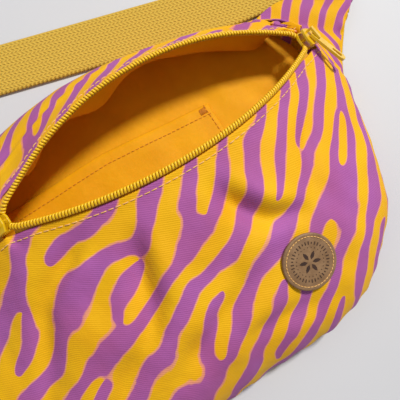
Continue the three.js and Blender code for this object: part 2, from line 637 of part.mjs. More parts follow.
// tail strip round the male half's middle bar
const MALE_BAR_X = 13.3;
const TAIL_END = 92;
const tailProfile = new THREE.CatmullRomCurve3([
  [25.9, -2.6], [20, -2.6], [16.5, -2.65], ...range(270, 90, 6).map((a) => [
    MALE_BAR_X + WRAP * Math.cos(a * degrees), WRAP * Math.sin(a * degrees)]),
  [16.5, 2.65], [20, 2.6], [25, 2.45], [31, 0.6], [38, -1.9], [46, -2.15], [70, -2.15], [TAIL_END,
  -2.15]].map(([x, z]) => V(x, 0, z)), false, 'centripetal');
const tailPath = (s, t) => {
  const c = tailProfile.getPointAt(THREE.MathUtils.clamp(s / tailProfile.getLength(), 0, 1));
  const over = s - THREE.MathUtils.clamp(s, 0, tailProfile.getLength());
  return buckleOrigin.clone().addScaledVector(buckleX, c.x + over * (s < 0 ? -1 : 1))
    .addScaledVector(leftOf(buckleX), t).setZ(BUCKLE_Z + c.z);
};
const tailStations = [...range(0.2, 8, 2), ...range(9, 25, 18), ...range(27,
  tailProfile.getLength() - 0.2, 9)];
add('webbing_tail', strip(tailPath, tailStations.map((s) => [s, 0])), WEB_YELLOW);

// ---- side-release buckle ----
const HALF_THICK = 4.5;
const SHELL_HALF_WIDTH = 17.2;
const female = plate([
  [0, -SHELL_HALF_WIDTH], [0, SHELL_HALF_WIDTH], [-16, SHELL_HALF_WIDTH], [-24, 15.6], [-29.4, 15.6],
  [-29.4, -15.6], [-24, -15.6], [-16, -SHELL_HALF_WIDTH]], -HALF_THICK, HALF_THICK)
  .subtract(block(-19, 1, -13.6, 13.6, -2.7, 2.7))
  .subtract(block(-16.2, -5.4, -20, 20, -2.7, 2.7))
  .subtract(block(BAR_X + BAR_HALF, -21, -12.9, 12.9, -9, 9))
  .subtract(block(-40, BAR_X + 2, -12.9, 12.9, BAR_HALF - 0.1, 9))
  .subtract(block(-40, BAR_X + 2, -12.9, 12.9, -9, 0.1 - BAR_HALF));
const male = plate([
  [0.4, -SHELL_HALF_WIDTH], [0.4, SHELL_HALF_WIDTH], [9, 16.2], [23.4, 15.8], [23.4, -15.8], [9,
  -16.2]], -3.6, 3.6)
  .subtract(block(7.4, MALE_BAR_X - BAR_HALF, -12.9, 12.9, -9, 9))
  .subtract(block(MALE_BAR_X + BAR_HALF, 19.2, -12.9, 12.9, -9, 9))
  .subtract(block(MALE_BAR_X - 2, 30, -12.9, 12.9, BAR_HALF - 0.1, 9))
  .subtract(block(MALE_BAR_X - 2, 30, -12.9, 12.9, -9, 0.1 - BAR_HALF))
  .add(plate([[1, -3.2], [-13, -2.4], [-14, 0], [-13, 2.4], [1, 3.2]], -2.2, 2.2))
  .subtract(block(-1, 2.6, 8.2, 12.4, -2.4, 2.4))
  .subtract(block(-1, 2.6, -12.4, -8.2, -2.4, 2.4));
const inBuckle = (solid) => placed(fromManifold(solid), buckleOrigin, buckleX, V(0, 0, 1));
const BLACK_PLASTIC = 0x2a2723;
add('buckle_female', inBuckle(female), BLACK_PLASTIC, 0.45);
add('buckle_male', inBuckle(male), BLACK_PLASTIC, 0.45);
for (const [word, side] of [['left', 1], ['right', -1]]) {
  const outline = [
    [2.2, 9.2], [2.2, 11.4], [-4.9, 11.9], [-6.1, 13], [-6.3, 16.4], [-9, 16.9], [-15.2, 13.2], [-15.7,
    11.6], [-14.6, 9.4]]
    .map(([x, y]) => [x, side * y]);
  add(`buckle_prong_${word}`, inBuckle(plate(outline, -2.2, 2.2)), BLACK_PLASTIC, 0.45);
}

export default group;
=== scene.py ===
import math
import bmesh
import bpy
import numpy as np
from mathutils import Matrix, Vector, noise


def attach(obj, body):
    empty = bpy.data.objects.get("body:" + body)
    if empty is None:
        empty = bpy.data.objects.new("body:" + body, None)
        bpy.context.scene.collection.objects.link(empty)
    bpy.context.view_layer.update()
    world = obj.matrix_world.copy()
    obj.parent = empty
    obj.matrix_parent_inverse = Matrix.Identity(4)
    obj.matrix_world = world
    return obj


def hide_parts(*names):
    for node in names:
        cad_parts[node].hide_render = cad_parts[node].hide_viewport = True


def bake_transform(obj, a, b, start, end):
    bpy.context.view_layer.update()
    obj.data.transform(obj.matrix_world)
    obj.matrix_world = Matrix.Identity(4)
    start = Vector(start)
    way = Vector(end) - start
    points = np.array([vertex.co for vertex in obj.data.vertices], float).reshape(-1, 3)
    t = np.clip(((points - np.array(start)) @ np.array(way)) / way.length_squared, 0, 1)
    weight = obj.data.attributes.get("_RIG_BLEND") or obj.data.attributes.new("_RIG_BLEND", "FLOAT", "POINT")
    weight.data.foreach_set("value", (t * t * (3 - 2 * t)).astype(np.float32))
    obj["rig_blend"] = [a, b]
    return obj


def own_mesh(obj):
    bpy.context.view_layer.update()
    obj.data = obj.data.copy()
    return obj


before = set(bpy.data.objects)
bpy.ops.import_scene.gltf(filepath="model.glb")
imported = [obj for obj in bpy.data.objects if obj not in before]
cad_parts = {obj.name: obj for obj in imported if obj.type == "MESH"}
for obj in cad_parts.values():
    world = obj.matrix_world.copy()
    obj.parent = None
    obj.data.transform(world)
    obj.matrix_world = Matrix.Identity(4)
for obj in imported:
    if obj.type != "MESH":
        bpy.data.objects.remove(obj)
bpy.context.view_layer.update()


MM = 0.001

# ---- sizes shared with the frame, in millimetres ----
ZIP_Y = 37.5
OPEN_LEFT = np.array((-52.5, ZIP_Y, 40.4))
OPEN_RIGHT = np.array((116.5, ZIP_Y, 22.8))
ZIP_LEFT_END = -118.0
BOW = 29.5
LIP_ANGLE = {-1: 133.0, 1: 23.0}
LIP_DIP = {-1: 32.0, 1: 52.0}
LIP_EASE = 8.0
LEFT_CHAIN_RADIUS = 137.0
FOLD_EDGE = 6.3
FABRIC = 1.0
LINING = 0.7
WING_COLUMN = 6
LAST_COLUMN = 9
BACK_FABRIC = 1.2
COIL_PITCH = 1.45
UV_UNIT = 0.01

# ---- sewing, in millimetres: pitch, stitch length and thread radius ----
HEM_PITCH, HEM_STITCH, HEM_THREAD = 2.6, 1.9, 0.22
TOPSTITCH_PITCH, TOPSTITCH, TOPSTITCH_THREAD = 3.3, 2.5, 0.26
WING_PITCH, WING_STITCH, WING_THREAD = 2.8, 1.5, 0.25

# ---- lining and slip pocket ----
LINING_REACH = 5.80
LINING_GAP = 1.5
FLOOR_INSET = 0.86
POCKET_LEFT, POCKET_RIGHT = -62.0, 60.5
POCKET_BOTTOM, POCKET_TOP = -44.0, 48.0
POCKET_SLOPE, POCKET_SLOPE_END = 7.0, 61.0
POCKET_HEIGHT = 4.6

# ---- lights ----
KEY_SIZE, KEY_POWER = 0.44, 63.0
FILL_SIZE, FILL_POWER = 0.9, 1.2
WORLD_STRENGTH = 0.27
WORLD_COLOR = (0.93, 0.95, 1.0, 1.0)
FLOOR_SIZE, FLOOR_DROP = 16.0, 0.0004


def smooth(low, high, x):
    t = np.clip((x - low) / (high - low), 0.0, 1.0)
    return t * t * (3 - 2 * t)


def mix(a, b, t):
    return a + (b - a) * t


def cloth_noise(x, y, seed):
    return noise.noise(Vector((x, y, seed)))


def unit(v):
    return v / np.linalg.norm(v)


def vec(*values):
    return np.array(values, float)


def keyed(keys):
    points = [np.array(key, float) for key in keys]

    def at(u):
        place = min(max(u, 0.0), len(points) - 1)
        first = min(int(place), len(points) - 2)
        w = place - first
        p1, p2 = points[first], points[first + 1]
        p0 = points[first - 1] if first > 0 else 2 * p1 - p2
        p3 = points[first + 2] if first + 2 < len(points) else 2 * p2 - p1
        t0, t1 = 0.5 * (p2 - p0), 0.5 * (p3 - p1)
        return p1 + t0 * w + (3 * (p2 - p1) - 2 * t0 - t1) * w * w + (2 * (p1 - p2) + t0 + t1) * w ** 3

    return at


# ---- the zip's line ----
chord = OPEN_RIGHT - OPEN_LEFT
half_chord = np.linalg.norm(chord) / 2
along_chord = unit(chord)
chord_middle = (OPEN_LEFT + OPEN_RIGHT) / 2
chord_up = vec(-along_chord[2], 0, along_chord[0])
arch_radius = (half_chord ** 2 + BOW ** 2) / (2 * BOW)
arch_half = math.asin(half_chord / arch_radius)
chord_tilt = math.atan2(along_chord[2], along_chord[0])
left_slope = arch_half + chord_tilt
right_slope = -arch_half + chord_tilt
left_centre = OPEN_LEFT + LEFT_CHAIN_RADIUS * vec(-math.sin(left_slope), 0, math.cos(left_slope))


def arch_height(x):
    along = (x - OPEN_LEFT[0]) / (OPEN_RIGHT[0] - OPEN_LEFT[0]) * 2 - 1
    inside = max(arch_radius ** 2 - (along * half_chord) ** 2, 0.0)
    height = math.sqrt(inside) - (arch_radius - BOW)
    return height * smooth(0, LIP_EASE, (1 - abs(along)) * half_chord)


def zip_point(side, x):
    if x <= OPEN_LEFT[0]:
        drop = math.sqrt(LEFT_CHAIN_RADIUS ** 2 - (x - left_centre[0]) ** 2)
        return vec(x, ZIP_Y, left_centre[2] - drop)
    if x >= OPEN_RIGHT[0]:
        return vec(x, ZIP_Y, OPEN_RIGHT[2] + (x - OPEN_RIGHT[0]) * math.tan(right_slope))
    angle = math.radians(LIP_ANGLE[side])
    base = mix(OPEN_LEFT, OPEN_RIGHT, (x - OPEN_LEFT[0]) / (OPEN_RIGHT[0] - OPEN_LEFT[0]))
    height = arch_height(x)
    return base + vec(0, height * math.cos(angle), 0) + chord_up * height * math.sin(angle)


def zip_station(side, x):
    inside = OPEN_LEFT[0] < x < OPEN_RIGHT[0]
    dip = math.radians(LIP_DIP[side] * (smooth(0, 14, arch_height(x)) if inside else 0.0))
    t = unit(zip_point(side, x + 0.5) - zip_point(side, x - 0.5))
    d = vec(0, side * math.cos(dip), -math.sin(dip))
    d = unit(d - t * d.dot(t))
    return zip_point(side, x), t, d, unit(np.cross(t, d) * side)


def fold_edge(side, x):
    p, _, d, _ = zip_station(side, x)
    return p + d * FOLD_EDGE


# ---- panel surfaces: u counts columns from the middle, v runs from the zip to the outer edge ----
inner_x = keyed([[0], [40], [70], [90], [104], [113], [121.5]])
front_outer = keyed([
    (0, -88, 0), (46, -88, 0), (80, -80, 0), (104, -58, 0), (119, -29, 0), (127, -2, 0),
    (132, 17, 0), (139, 29, 0), (148, 38, 0), (158, 46, 0)])
wing_seam = keyed([(122.2, 39.5, 16.5), (117, 54, 14), (108, 65.3, 4.6)])
wing_top = keyed([(108, 65.3, 4.6), (121, 66.5, 6.3), (137.3, 63.4, 7.4)])
shoulder_height = keyed([[h] for h in (50, 50, 48, 42, 32, 24, 14, 12, 9, 7)])
belly_height = keyed([[h] for h in (40, 40, 37, 30, 22, 16, 12, 10, 8, 7)])
top_edge = keyed([(0, 88.5, 0), (38, 84, 0), (66, 76.5, 0), (84, 71, 0), (95, 68, 0), (102, 66, 0),
    (106.5, 65.3, 0)])
back_top = keyed([(0, 88), (38, 83.5), (66, 76), (84, 70.5), (96, 67), (107, 64.5), (120, 66), (137, 63)])
back_bottom = keyed([
    (0, -87.5), (46, -87.5), (80, -79.5), (104, -57.5), (119, -28.5), (131, 14), (147, 37), (157.5, 46)])


def bezier(points, v):
    v = np.asarray(v, float)[:, None]
    a, b, c, d = points
    return a * (1 - v) ** 3 + 3 * b * v * (1 - v) ** 2 + 3 * c * v * v * (1 - v) + d * v ** 3


def mirror_of(u):
    return -1.0 if u < 0 else 1.0


def inner_edge(u):
    column, mirror = abs(u), mirror_of(u)
    if column <= WING_COLUMN:
        return fold_edge(-1, mirror * inner_x(column)[0])
    point = wing_seam((column - WING_COLUMN) / 0.75) if column <= 7.5 else wing_top((column - 7.5) / 0.75)
    return vec(mirror * point[0], point[1], point[2])


def front_column(u, v):
    column, mirror = abs(u), mirror_of(u)
    join = smooth(WING_COLUMN - 0.6, WING_COLUMN, column)
    start, end = inner_edge(u), front_outer(column)
    edge_z = 1.75 + 2.2 * smooth(120, 144, end[0]) + 3 * smooth(7.3, 8.3, column)
    end = vec(end[0] * mirror, end[1], edge_z)
    outward = end - start
    shoulder = start + outward * 0.28
    shoulder[2] = mix(min(shoulder_height(column)[0], start[2] - 2), mix(start[2], end[2], 0.35), join)
    belly = end + outward * mix(0.04, -0.18, join)
    belly[2] = mix(belly_height(column)[0], end[2] + 4, join)
    return bezier((start, shoulder, belly, end), v)


def top_column(u, v):
    column, mirror = abs(u), mirror_of(u)
    start, end = fold_edge(1, mirror * inner_x(column)[0]), top_edge(column)
    end = vec(end[0] * mirror, end[1], 1.75)
    drop = start[2] - end[2]
    shoulder = mix(start, end, 0.4)
    shoulder[2] = end[2] + drop * 0.72
    brow = end + vec(0, 1.5, drop * 0.38)
    return bezier((start, shoulder, brow, end), v)


def back_column(u, v, shrink=1.0):
    column, mirror = abs(u) * shrink, mirror_of(u)
    high, low = back_top(column), back_bottom(column)
    rows = [mix(high, low, value) for value in v]
    return np.array([(mirror * p[0], p[1], 1.2 + 2.2 * smooth(122, 146, p[0])) for p in rows])


# ---- meshes ----
def new_object(name, points, faces, uv=None, smooth_shade=True):
    mesh = bpy.data.meshes.new(name)
    mesh.from_pydata([tuple(point) for point in np.asarray(points) * MM], [], faces)
    mesh.update()
    if uv is not None:
        layer = mesh.uv_layers.new(name="cloth")
        index = np.empty(len(mesh.loops), np.int32)
        mesh.loops.foreach_get("vertex_index", index)
        layer.data.foreach_set("uv", (np.asarray(uv, float) * UV_UNIT)[index].ravel())
    mesh.polygons.foreach_set("use_smooth", [smooth_shade] * len(mesh.polygons))
    obj = bpy.data.objects.new(name, mesh)
    bpy.context.scene.collection.objects.link(obj)
    return obj


def grid_normals(grid, flip=1.0):
    du = np.gradient(grid, axis=0)
    dv = np.gradient(grid, axis=1)
    n = np.cross(du, dv) * flip
    return n / np.maximum(np.linalg.norm(n, axis=2, keepdims=True), 1e-9)


def thick_sheet(name, grid, normals, thickness, uv):
    """A closed cloth sheet: outer face on the grid, inner face below it, half-round edges between them."""
    rows, cols = grid.shape[:2]
    below = grid - normals * thickness
    points = list(grid.reshape(-1, 3)) + list(below.reshape(-1, 3))
    uvs = list(uv.reshape(-1, 2)) * 2
    count = rows * cols
    at = lambda i, j: i * cols + j
    faces = []
    for i in range(rows - 1):
        for j in range(cols - 1):
            quad = (at(i, j), at(i + 1, j), at(i + 1, j + 1), at(i, j + 1))
            faces.append(quad)
            faces.append(tuple(count + k for k in reversed(quad)))
    ring = [(i, 0) for i in range(rows)] + [(rows - 1, j) for j in range(1, cols)]
    ring += [(i, cols - 1) for i in range(rows - 2, -1, -1)] + [(0, j) for j in range(cols - 2, 0, -1)]
    mids = []
    for i, j in ring:
        inward = grid[min(max(i, 1), rows - 2), min(max(j, 1), cols - 2)] - grid[i, j]
        out = -inward + normals[i, j] * inward.dot(normals[i, j])
        out = out / max(np.linalg.norm(out), 1e-9)
        mids.append(len(points))
        points.append(grid[i, j] - normals[i, j] * thickness / 2 + out * thickness / 2)
        uvs.append(uv[i, j])
    for k in range(len(ring)):
        m = (k + 1) % len(ring)
        a, b = at(*ring[k]), at(*ring[m])
        faces.append((b, a, mids[k], mids[m]))
        faces.append((mids[m], mids[k], count + a, count + b))
    obj = new_object(name, points, faces, uvs)
    return settle_normals(obj)


def settle_normals(obj):
    bm = bmesh.new()
    bm.from_mesh(obj.data)
    bmesh.ops.recalc_face_normals(bm, faces=bm.faces)
    bm.to_mesh(obj.data)
    bm.free()
    return obj


def tube(points, faces, path, normals, radius_a, radius_b, sides):
    """Adds a swept oval section along path; normals give the section's first axis."""
    base = len(points)
    path = np.asarray(path)
    tangents = np.gradient(path, axis=0)
    for p, t, n in zip(path, tangents, normals):
        t = t / max(np.linalg.norm(t), 1e-9)
        n = unit(n - t * n.dot(t))
        b = np.cross(t, n)
        for k in range(sides):
            a = 2 * math.pi * k / sides
            points.append(p + n * radius_a * math.cos(a) + b * radius_b * math.sin(a))
    for i in range(len(path) - 1):
        for k in range(sides):
            a, b = base + i * sides + k, base + i * sides + (k + 1) % sides
            faces.append((a, b, b + sides, a + sides))
    last = base + (len(path) - 1) * sides
    faces.append(tuple(base + k for k in reversed(range(sides))))
    faces.append(tuple(last + k for k in range(sides)))


def stitches(name, places, length, radius):
    """Short sewn threads: places hold (point, normal, direction)."""
    points, faces = [], []
    for p, n, d in places:
        path = [p + d * length * s + n * (radius * lift) for s, lift in
                ((-0.5, -0.9), (-0.42, 0.0), (-0.2, 0.75), (0.2, 0.75), (0.42, 0.0), (0.5, -0.9))]
        tube(points, faces, path, [n] * len(path), radius, radius, 6)
    return settle_normals(new_object(name, points, faces))


# ---- materials ----
class Graph:
    """A small helper that wires shader nodes for one material."""

    def __init__(self, name, uv_scale=100.0):
        self.material = bpy.data.materials.new(name)
        self.material.use_nodes = True
        self.tree = self.material.node_tree
        self.shader = self.tree.nodes["Principled BSDF"]
        self.uv_scale = uv_scale

    def node(self, kind, inputs=None, **settings):
        made = self.tree.nodes.new(kind)
        for key, value in settings.items():
            setattr(made, key, value)
        for key, value in (inputs or {}).items():
            self.put(made.inputs[key], value)
        return made

    def put(self, socket, value):
        if isinstance(value, bpy.types.NodeSocket):
            self.tree.links.new(value, socket)
        elif isinstance(value, bpy.types.Node):
            self.tree.links.new(value.outputs[0], socket)
        else:
            socket.default_value = value

    def math(self, operation, *values):
        made = self.node("ShaderNodeMath", operation=operation)
        for socket, value in zip(made.inputs, values):
            self.put(socket, value)
        return made.outputs[0]

    def cloth(self):
        """Flat cloth coordinates in millimetres, which travel with the sheet."""
        uv = self.node("ShaderNodeUVMap", uv_map="cloth")
        scale = self.node("ShaderNodeVectorMath", operation="SCALE")
        self.put(scale.inputs[0], uv.outputs[0])
        scale.inputs["Scale"].default_value = self.uv_scale
        return scale.outputs[0]

    def place(self):
        """Object coordinates in metres."""
        return self.node("ShaderNodeTexCoord").outputs["Object"]

    def noise(self, vector, scale, detail=2.0, roughness=0.5):
        return self.node("ShaderNodeTexNoise", {
            "Vector": vector, "Scale": scale, "Detail": detail, "Roughness": roughness}).outputs["Fac"]

    def ramp(self, factor, stops, interpolation="LINEAR"):
        made = self.node("ShaderNodeValToRGB", {"Fac": factor})
        made.color_ramp.interpolation = interpolation
        elements = made.color_ramp.elements
        while len(elements) < len(stops):
            elements.new(0.5)
        for element, (position, color) in zip(elements, stops):
            element.position = position
            element.color = (*color, 1.0)
        return made.outputs["Color"]

    def bump(self, height, strength, distance, under=None):
        made = self.node("ShaderNodeBump", {"Height": height, "Strength": strength, "Distance": distance})
        if under is not None:
            self.put(made.inputs["Normal"], under)
        return made.outputs["Normal"]

    def finish(self, color, roughness, normal=None, **others):
        self.put(self.shader.inputs["Base Color"], color)
        self.put(self.shader.inputs["Roughness"], roughness)
        if normal is not None:
            self.put(self.shader.inputs["Normal"], normal)
        for key, value in others.items():
            self.put(self.shader.inputs[key.replace("_", " ")], value)
        return self.material


PRINT_YELLOW = (0.90, 0.50, 0.003)
PRINT_YELLOW_DEEP = (0.85, 0.41, 0.003)
PRINT_ORCHID = (0.43, 0.118, 0.40)
PRINT_ORCHID_DEEP = (0.40, 0.092, 0.27)
PRINT_BORDER = (0.80, 0.27, 0.17)
STRIPE_PERIOD = 15.0

# Places where a stripe forks or ends, as (across, down, turn) in cloth millimetres.
FORKS = (
    (-98, 22, 1), (-84, 52, -1), (-66, 30, 1), (-52, 74, 1), (-44, 18, -1), (-30, 50, -1),
    (-12, 28, 1), (-4, 84, -1), (12, 56, 1), (24, 22, -1), (38, 66, 1), (52, 34, -1),
    (58, 92, 1), (70, 58, 1), (78, 24, -1), (90, 44, -1), (98, 82, 1), (108, 30, 1),
    (118, 60, -1), (18, 104, -1), (-28, 100, 1), (-74, 96, -1), (86, 108, -1), (-108, 70, 1),
    (-60, -18, 1), (-18, -26, -1), (22, -14, 1), (64, -30, -1), (96, -16, 1), (-96, -30, -1))


def zebra(name, shift):
    g = Graph(name)
    at = g.node("ShaderNodeVectorMath", {0: g.cloth(), 1: (shift[0], shift[1], 0.0)},
        operation="ADD").outputs[0]
    parts = g.node("ShaderNodeSeparateXYZ", {0: at})
    u, v = parts.outputs[0], parts.outputs[1]
    sway = g.math("MULTIPLY", g.math("SUBTRACT", g.noise(at, 0.021, 2.0, 0.45), 0.5), 9.5)
    k = 2 * math.pi / STRIPE_PERIOD
    slant = g.math("MULTIPLY", g.math("MULTIPLY", u, u), 0.0009 * k)
    across = g.math("ADD", g.math("MULTIPLY", u, 0.63 * k), g.math("MULTIPLY", v, -0.80 * k))
    phase = g.math("ADD", g.math("ADD", across, slant), sway)
    for fork_u, fork_v, turn in FORKS:
        angle = g.math("ARCTAN2", g.math("SUBTRACT", v, 38.0 - fork_v),
            g.math("SUBTRACT", u, float(fork_u)))
        phase = g.math("MULTIPLY_ADD", angle, float(turn), phase)
    wave = g.math("SINE", phase)
    along = g.math("ADD", g.math("MULTIPLY", u, 0.24), g.math("MULTIPLY", v, 0.19))
    athwart = g.math("ADD", g.math("MULTIPLY", u, 0.63), g.math("MULTIPLY", v, -0.80))
    drawn_out = g.node("ShaderNodeCombineXYZ", {0: along, 1: athwart})
    width = g.math("MULTIPLY", g.math("SUBTRACT", g.noise(drawn_out.outputs[0], 0.085, 2.0, 0.5), 0.48),
        2.7)
    edge = g.math("MULTIPLY", g.math("SUBTRACT", g.noise(at, 0.35, 2.0, 0.5), 0.5), 0.22)
    field = g.math("ADD", g.math("ADD", wave, width), edge)
    level = g.math("MULTIPLY_ADD", field, 0.25, 0.5)
    fade = g.noise(at, 0.03, 3.0, 0.5)
    yellow = g.ramp(fade, ((0.25, PRINT_YELLOW_DEEP), (0.7, PRINT_YELLOW)))
    orchid = g.ramp(fade, ((0.25, PRINT_ORCHID_DEEP), (0.7, PRINT_ORCHID)))
    ink = g.ramp(level, ((0.0, (0, 0, 0)), (0.495, (0, 0, 0)), (0.515, (1, 1, 1)), (1.0, (1, 1, 1))))
    color = g.node("ShaderNodeMix", data_type="RGBA")
    g.put(color.inputs["Factor"], ink)
    g.put(color.inputs[6], orchid)
    g.put(color.inputs[7], yellow)
    rim = g.ramp(level, ((0.452, (0, 0, 0)), (0.486, (0.9, 0.9, 0.9)), (0.526, (0.9, 0.9, 0.9)),
        (0.558, (0, 0, 0))))
    border = g.ramp(fade, ((0.3, PRINT_BORDER), (0.7, (0.92, 0.40, 0.20))))
    edged = g.node("ShaderNodeMix", data_type="RGBA")
    g.put(edged.inputs["Factor"], rim)
    g.put(edged.inputs[6], color.outputs[2])
    g.put(edged.inputs[7], border)
    twill_at = g.math("ADD", g.math("MULTIPLY", u, 0.32), g.math("MULTIPLY", v, 0.95))
    twill = g.math("SINE", g.math("MULTIPLY", twill_at, 2 * math.pi / 0.95))
    thread = g.math("MULTIPLY", twill, g.math("ADD", g.noise(at, 3.0, 2.0, 0.6), 0.3))
    # The print is darkened a little in the twill's grooves: painted shade along the twill lines.
    shade = g.math("MULTIPLY_ADD", twill, 0.035, 0.965)
    twill_shaded = g.node("ShaderNodeVectorMath", operation="SCALE")
    g.put(twill_shaded.inputs[0], edged.outputs[2])
    g.put(twill_shaded.inputs["Scale"], shade)
    normal = g.bump(thread, 0.35, 0.00012, g.bump(g.noise(at, 0.25, 3.0, 0.55), 0.25, 0.0008))
    rough = g.math("MULTIPLY_ADD", g.noise(at, 0.6), 0.14, 0.6)
    return g.finish(twill_shaded.outputs[0], rough, normal, Sheen_Weight=0.03, Specular_IOR_Level=0.2)


def lining_material():
    g = Graph("mustard lining")
    at = g.cloth()
    color = g.ramp(g.noise(at, 0.05, 3.0, 0.55), ((0.3, (0.80, 0.345, 0.001)), (0.7, (0.90, 0.42, 0.002))))
    parts = g.node("ShaderNodeSeparateXYZ", {0: at})
    weft = g.math("SINE", g.math("MULTIPLY", parts.outputs[0], 2 * math.pi / 0.6))
    warp = g.math("SINE", g.math("MULTIPLY", parts.outputs[1], 2 * math.pi / 0.6))
    normal = g.bump(g.math("MULTIPLY", weft, warp), 0.3, 0.00008,
        g.bump(g.noise(at, 0.12, 3.0, 0.6), 0.4, 0.0012))
    rough = g.math("MULTIPLY_ADD", g.noise(at, 0.5), 0.15, 0.5)
    return g.finish(color, rough, normal, Sheen_Weight=0.02, Specular_IOR_Level=0.15)


def nylon_material(name, light, deep, roughness):
    g = Graph(name)
    at = g.place()
    color = g.ramp(g.noise(at, 900.0, 2.0, 0.5), ((0.3, deep), (0.7, light)))
    normal = g.bump(g.noise(at, 2600.0, 2.0, 0.6), 0.25, 0.0001)
    rough = g.math("MULTIPLY_ADD", g.noise(at, 1400.0), 0.12, roughness)
    return g.finish(color, rough, normal)


def tape_material():
    g = Graph("zip tape")
    at = g.cloth()
    parts = g.node("ShaderNodeSeparateXYZ", {0: at})
    rib = g.math("SINE", g.math("MULTIPLY", parts.outputs[0], 2 * math.pi / 0.7))
    line = g.math("SINE", g.math("MULTIPLY", parts.outputs[1], 2 * math.pi / 0.8))
    color = g.ramp(g.noise(at, 0.3, 2.0, 0.5), ((0.3, (0.78, 0.37, 0.005)), (0.7, (0.88, 0.45, 0.007))))
    return g.finish(color, 0.7, g.bump(g.math("MULTIPLY", rib, line), 0.4, 0.0001), Sheen_Weight=0.2)


def enamel_material():
    g = Graph("yellow enamel")
    at = g.place()
    color = g.ramp(g.noise(at, 160.0, 3.0, 0.5), ((0.3, (0.76, 0.45, 0.004)), (0.7, (0.86, 0.54, 0.006))))
    wear = g.noise(at, 700.0, 3.0, 0.6)
    rough = g.math("MULTIPLY_ADD", wear, 0.15, 0.24)
    return g.finish(color, rough, g.bump(wear, 0.08, 0.0001), Coat_Weight=0.4)


def plastic_material():
    g = Graph("buckle plastic")
    at = g.place()
    grain = g.noise(at, 1800.0, 3.0, 0.6)
    color = g.ramp(g.noise(at, 120.0, 2.0, 0.5),
        ((0.3, (0.012, 0.011, 0.010)), (0.7, (0.022, 0.020, 0.018))))
    return g.finish(color, g.math("MULTIPLY_ADD", grain, 0.15, 0.36), g.bump(grain, 0.2, 0.0001))


def webbing_material():
    g = Graph("webbing")
    at = g.cloth()
    parts = g.node("ShaderNodeSeparateXYZ", {0: at})
    u, v = parts.outputs[0], parts.outputs[1]
    zigzag = g.math("PINGPONG", v, 1.6)
    rib = g.math("SINE", g.math("MULTIPLY", g.math("ADD", u, zigzag), 2 * math.pi / 2.2))
    warp = g.math("SINE", g.math("MULTIPLY", v, 2 * math.pi / 1.6))
    pips = g.math("ADD", g.math("MULTIPLY", rib, 0.6),
        g.math("MULTIPLY", g.math("MULTIPLY", rib, warp), 0.6))
    # The colour follows the weave's height: darker in the hollows and lighter on the ribs is painted shade,
    # and the noise adds random tone.
    level = g.math("MULTIPLY_ADD", g.math("ADD", pips, g.noise(at, 1.2, 2.0, 0.6)), 0.25, 0.42)
    color = g.ramp(level, ((0.15, (0.46, 0.25, 0.018)), (0.55, (0.66, 0.41, 0.040)),
        (0.95, (0.78, 0.53, 0.075))))
    return g.finish(color, 0.78, g.bump(pips, 0.8, 0.0003), Sheen_Weight=0.06)


def leather_material():
    g = Graph("tan leather")
    at = g.cloth()
    grain = g.node("ShaderNodeTexVoronoi", {"Vector": at, "Scale": 1.6}).outputs["Distance"]
    tone = g.noise(at, 0.18, 4.0, 0.6)
    color = g.ramp(tone, ((0.3, (0.20, 0.105, 0.045)), (0.7, (0.33, 0.19, 0.09))))
    normal = g.bump(grain, 0.35, 0.00015, g.bump(tone, 0.3, 0.0003))
    return g.finish(color, g.math("MULTIPLY_ADD", tone, 0.2, 0.42), normal)


def floor_material():
    g = Graph("pale surface")
    at = g.place()
    color = g.ramp(g.noise(at, 6.0, 3.0, 0.5), ((0.3, (0.62, 0.62, 0.635)), (0.7, (0.65, 0.65, 0.665))))
    return g.finish(color, 0.55, g.bump(g.noise(at, 300.0, 2.0, 0.5), 0.04, 0.0003))


print_front = zebra("zebra print", (0.0, 0.0))
print_top = zebra("zebra print, top", (14.0, -12.0))
print_back = zebra("zebra print, back", (40.0, 33.0))
mustard = lining_material()
coil_yellow = nylon_material("zip coil", (0.98, 0.62, 0.010), (0.90, 0.50, 0.006), 0.34)
thread_pale = nylon_material("sewing thread", (0.92, 0.56, 0.20), (0.80, 0.42, 0.12), 0.6)
thread_dark = nylon_material("dark thread", (0.35, 0.12, 0.03), (0.25, 0.08, 0.03), 0.6)
thread_gold = nylon_material("gold thread", (0.75, 0.28, 0.005), (0.55, 0.18, 0.003), 0.6)
dark_tan = nylon_material("stamped leather", (0.055, 0.022, 0.010), (0.035, 0.014, 0.007), 0.6)
tape_yellow = tape_material()
enamel = enamel_material()
plastic = plastic_material()
webbing = webbing_material()
leather = leather_material()


def dress(obj, material):
    obj.data.materials.clear()
    obj.data.materials.append(material)
    return obj


# ---- lips bend away from the bag between these places ----
def plane_ramp(direction, low, high):
    return [tuple((chord_middle + direction * d) * MM) for d in (low, high)]


def x_ramp(start, end):
    return [(start * MM, 0.0, 0.0), (end * MM, 0.0, 0.0)]


END_RAMPS = [x_ramp(118, 100), x_ramp(-57.5, -36)]
FRONT_RAMPS = [plane_ramp(vec(0, 0.731, 0.682), -26, -3)] + END_RAMPS
BACK_RAMPS = [plane_ramp(vec(0, -0.39, 0.92), -26, -3)] + END_RAMPS


def bend_with(obj, lip, ramps):
    least = None
    for start, end in ramps:
        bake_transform(obj, "bag", lip, start, end)
        weights = np.empty(len(obj.data.vertices), np.float32)
        obj.data.attributes["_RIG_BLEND"].data.foreach_get("value", weights)
        least = weights if least is None else np.minimum(least, weights)
    obj.data.attributes["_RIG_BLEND"].data.foreach_set("value", least)
    return obj


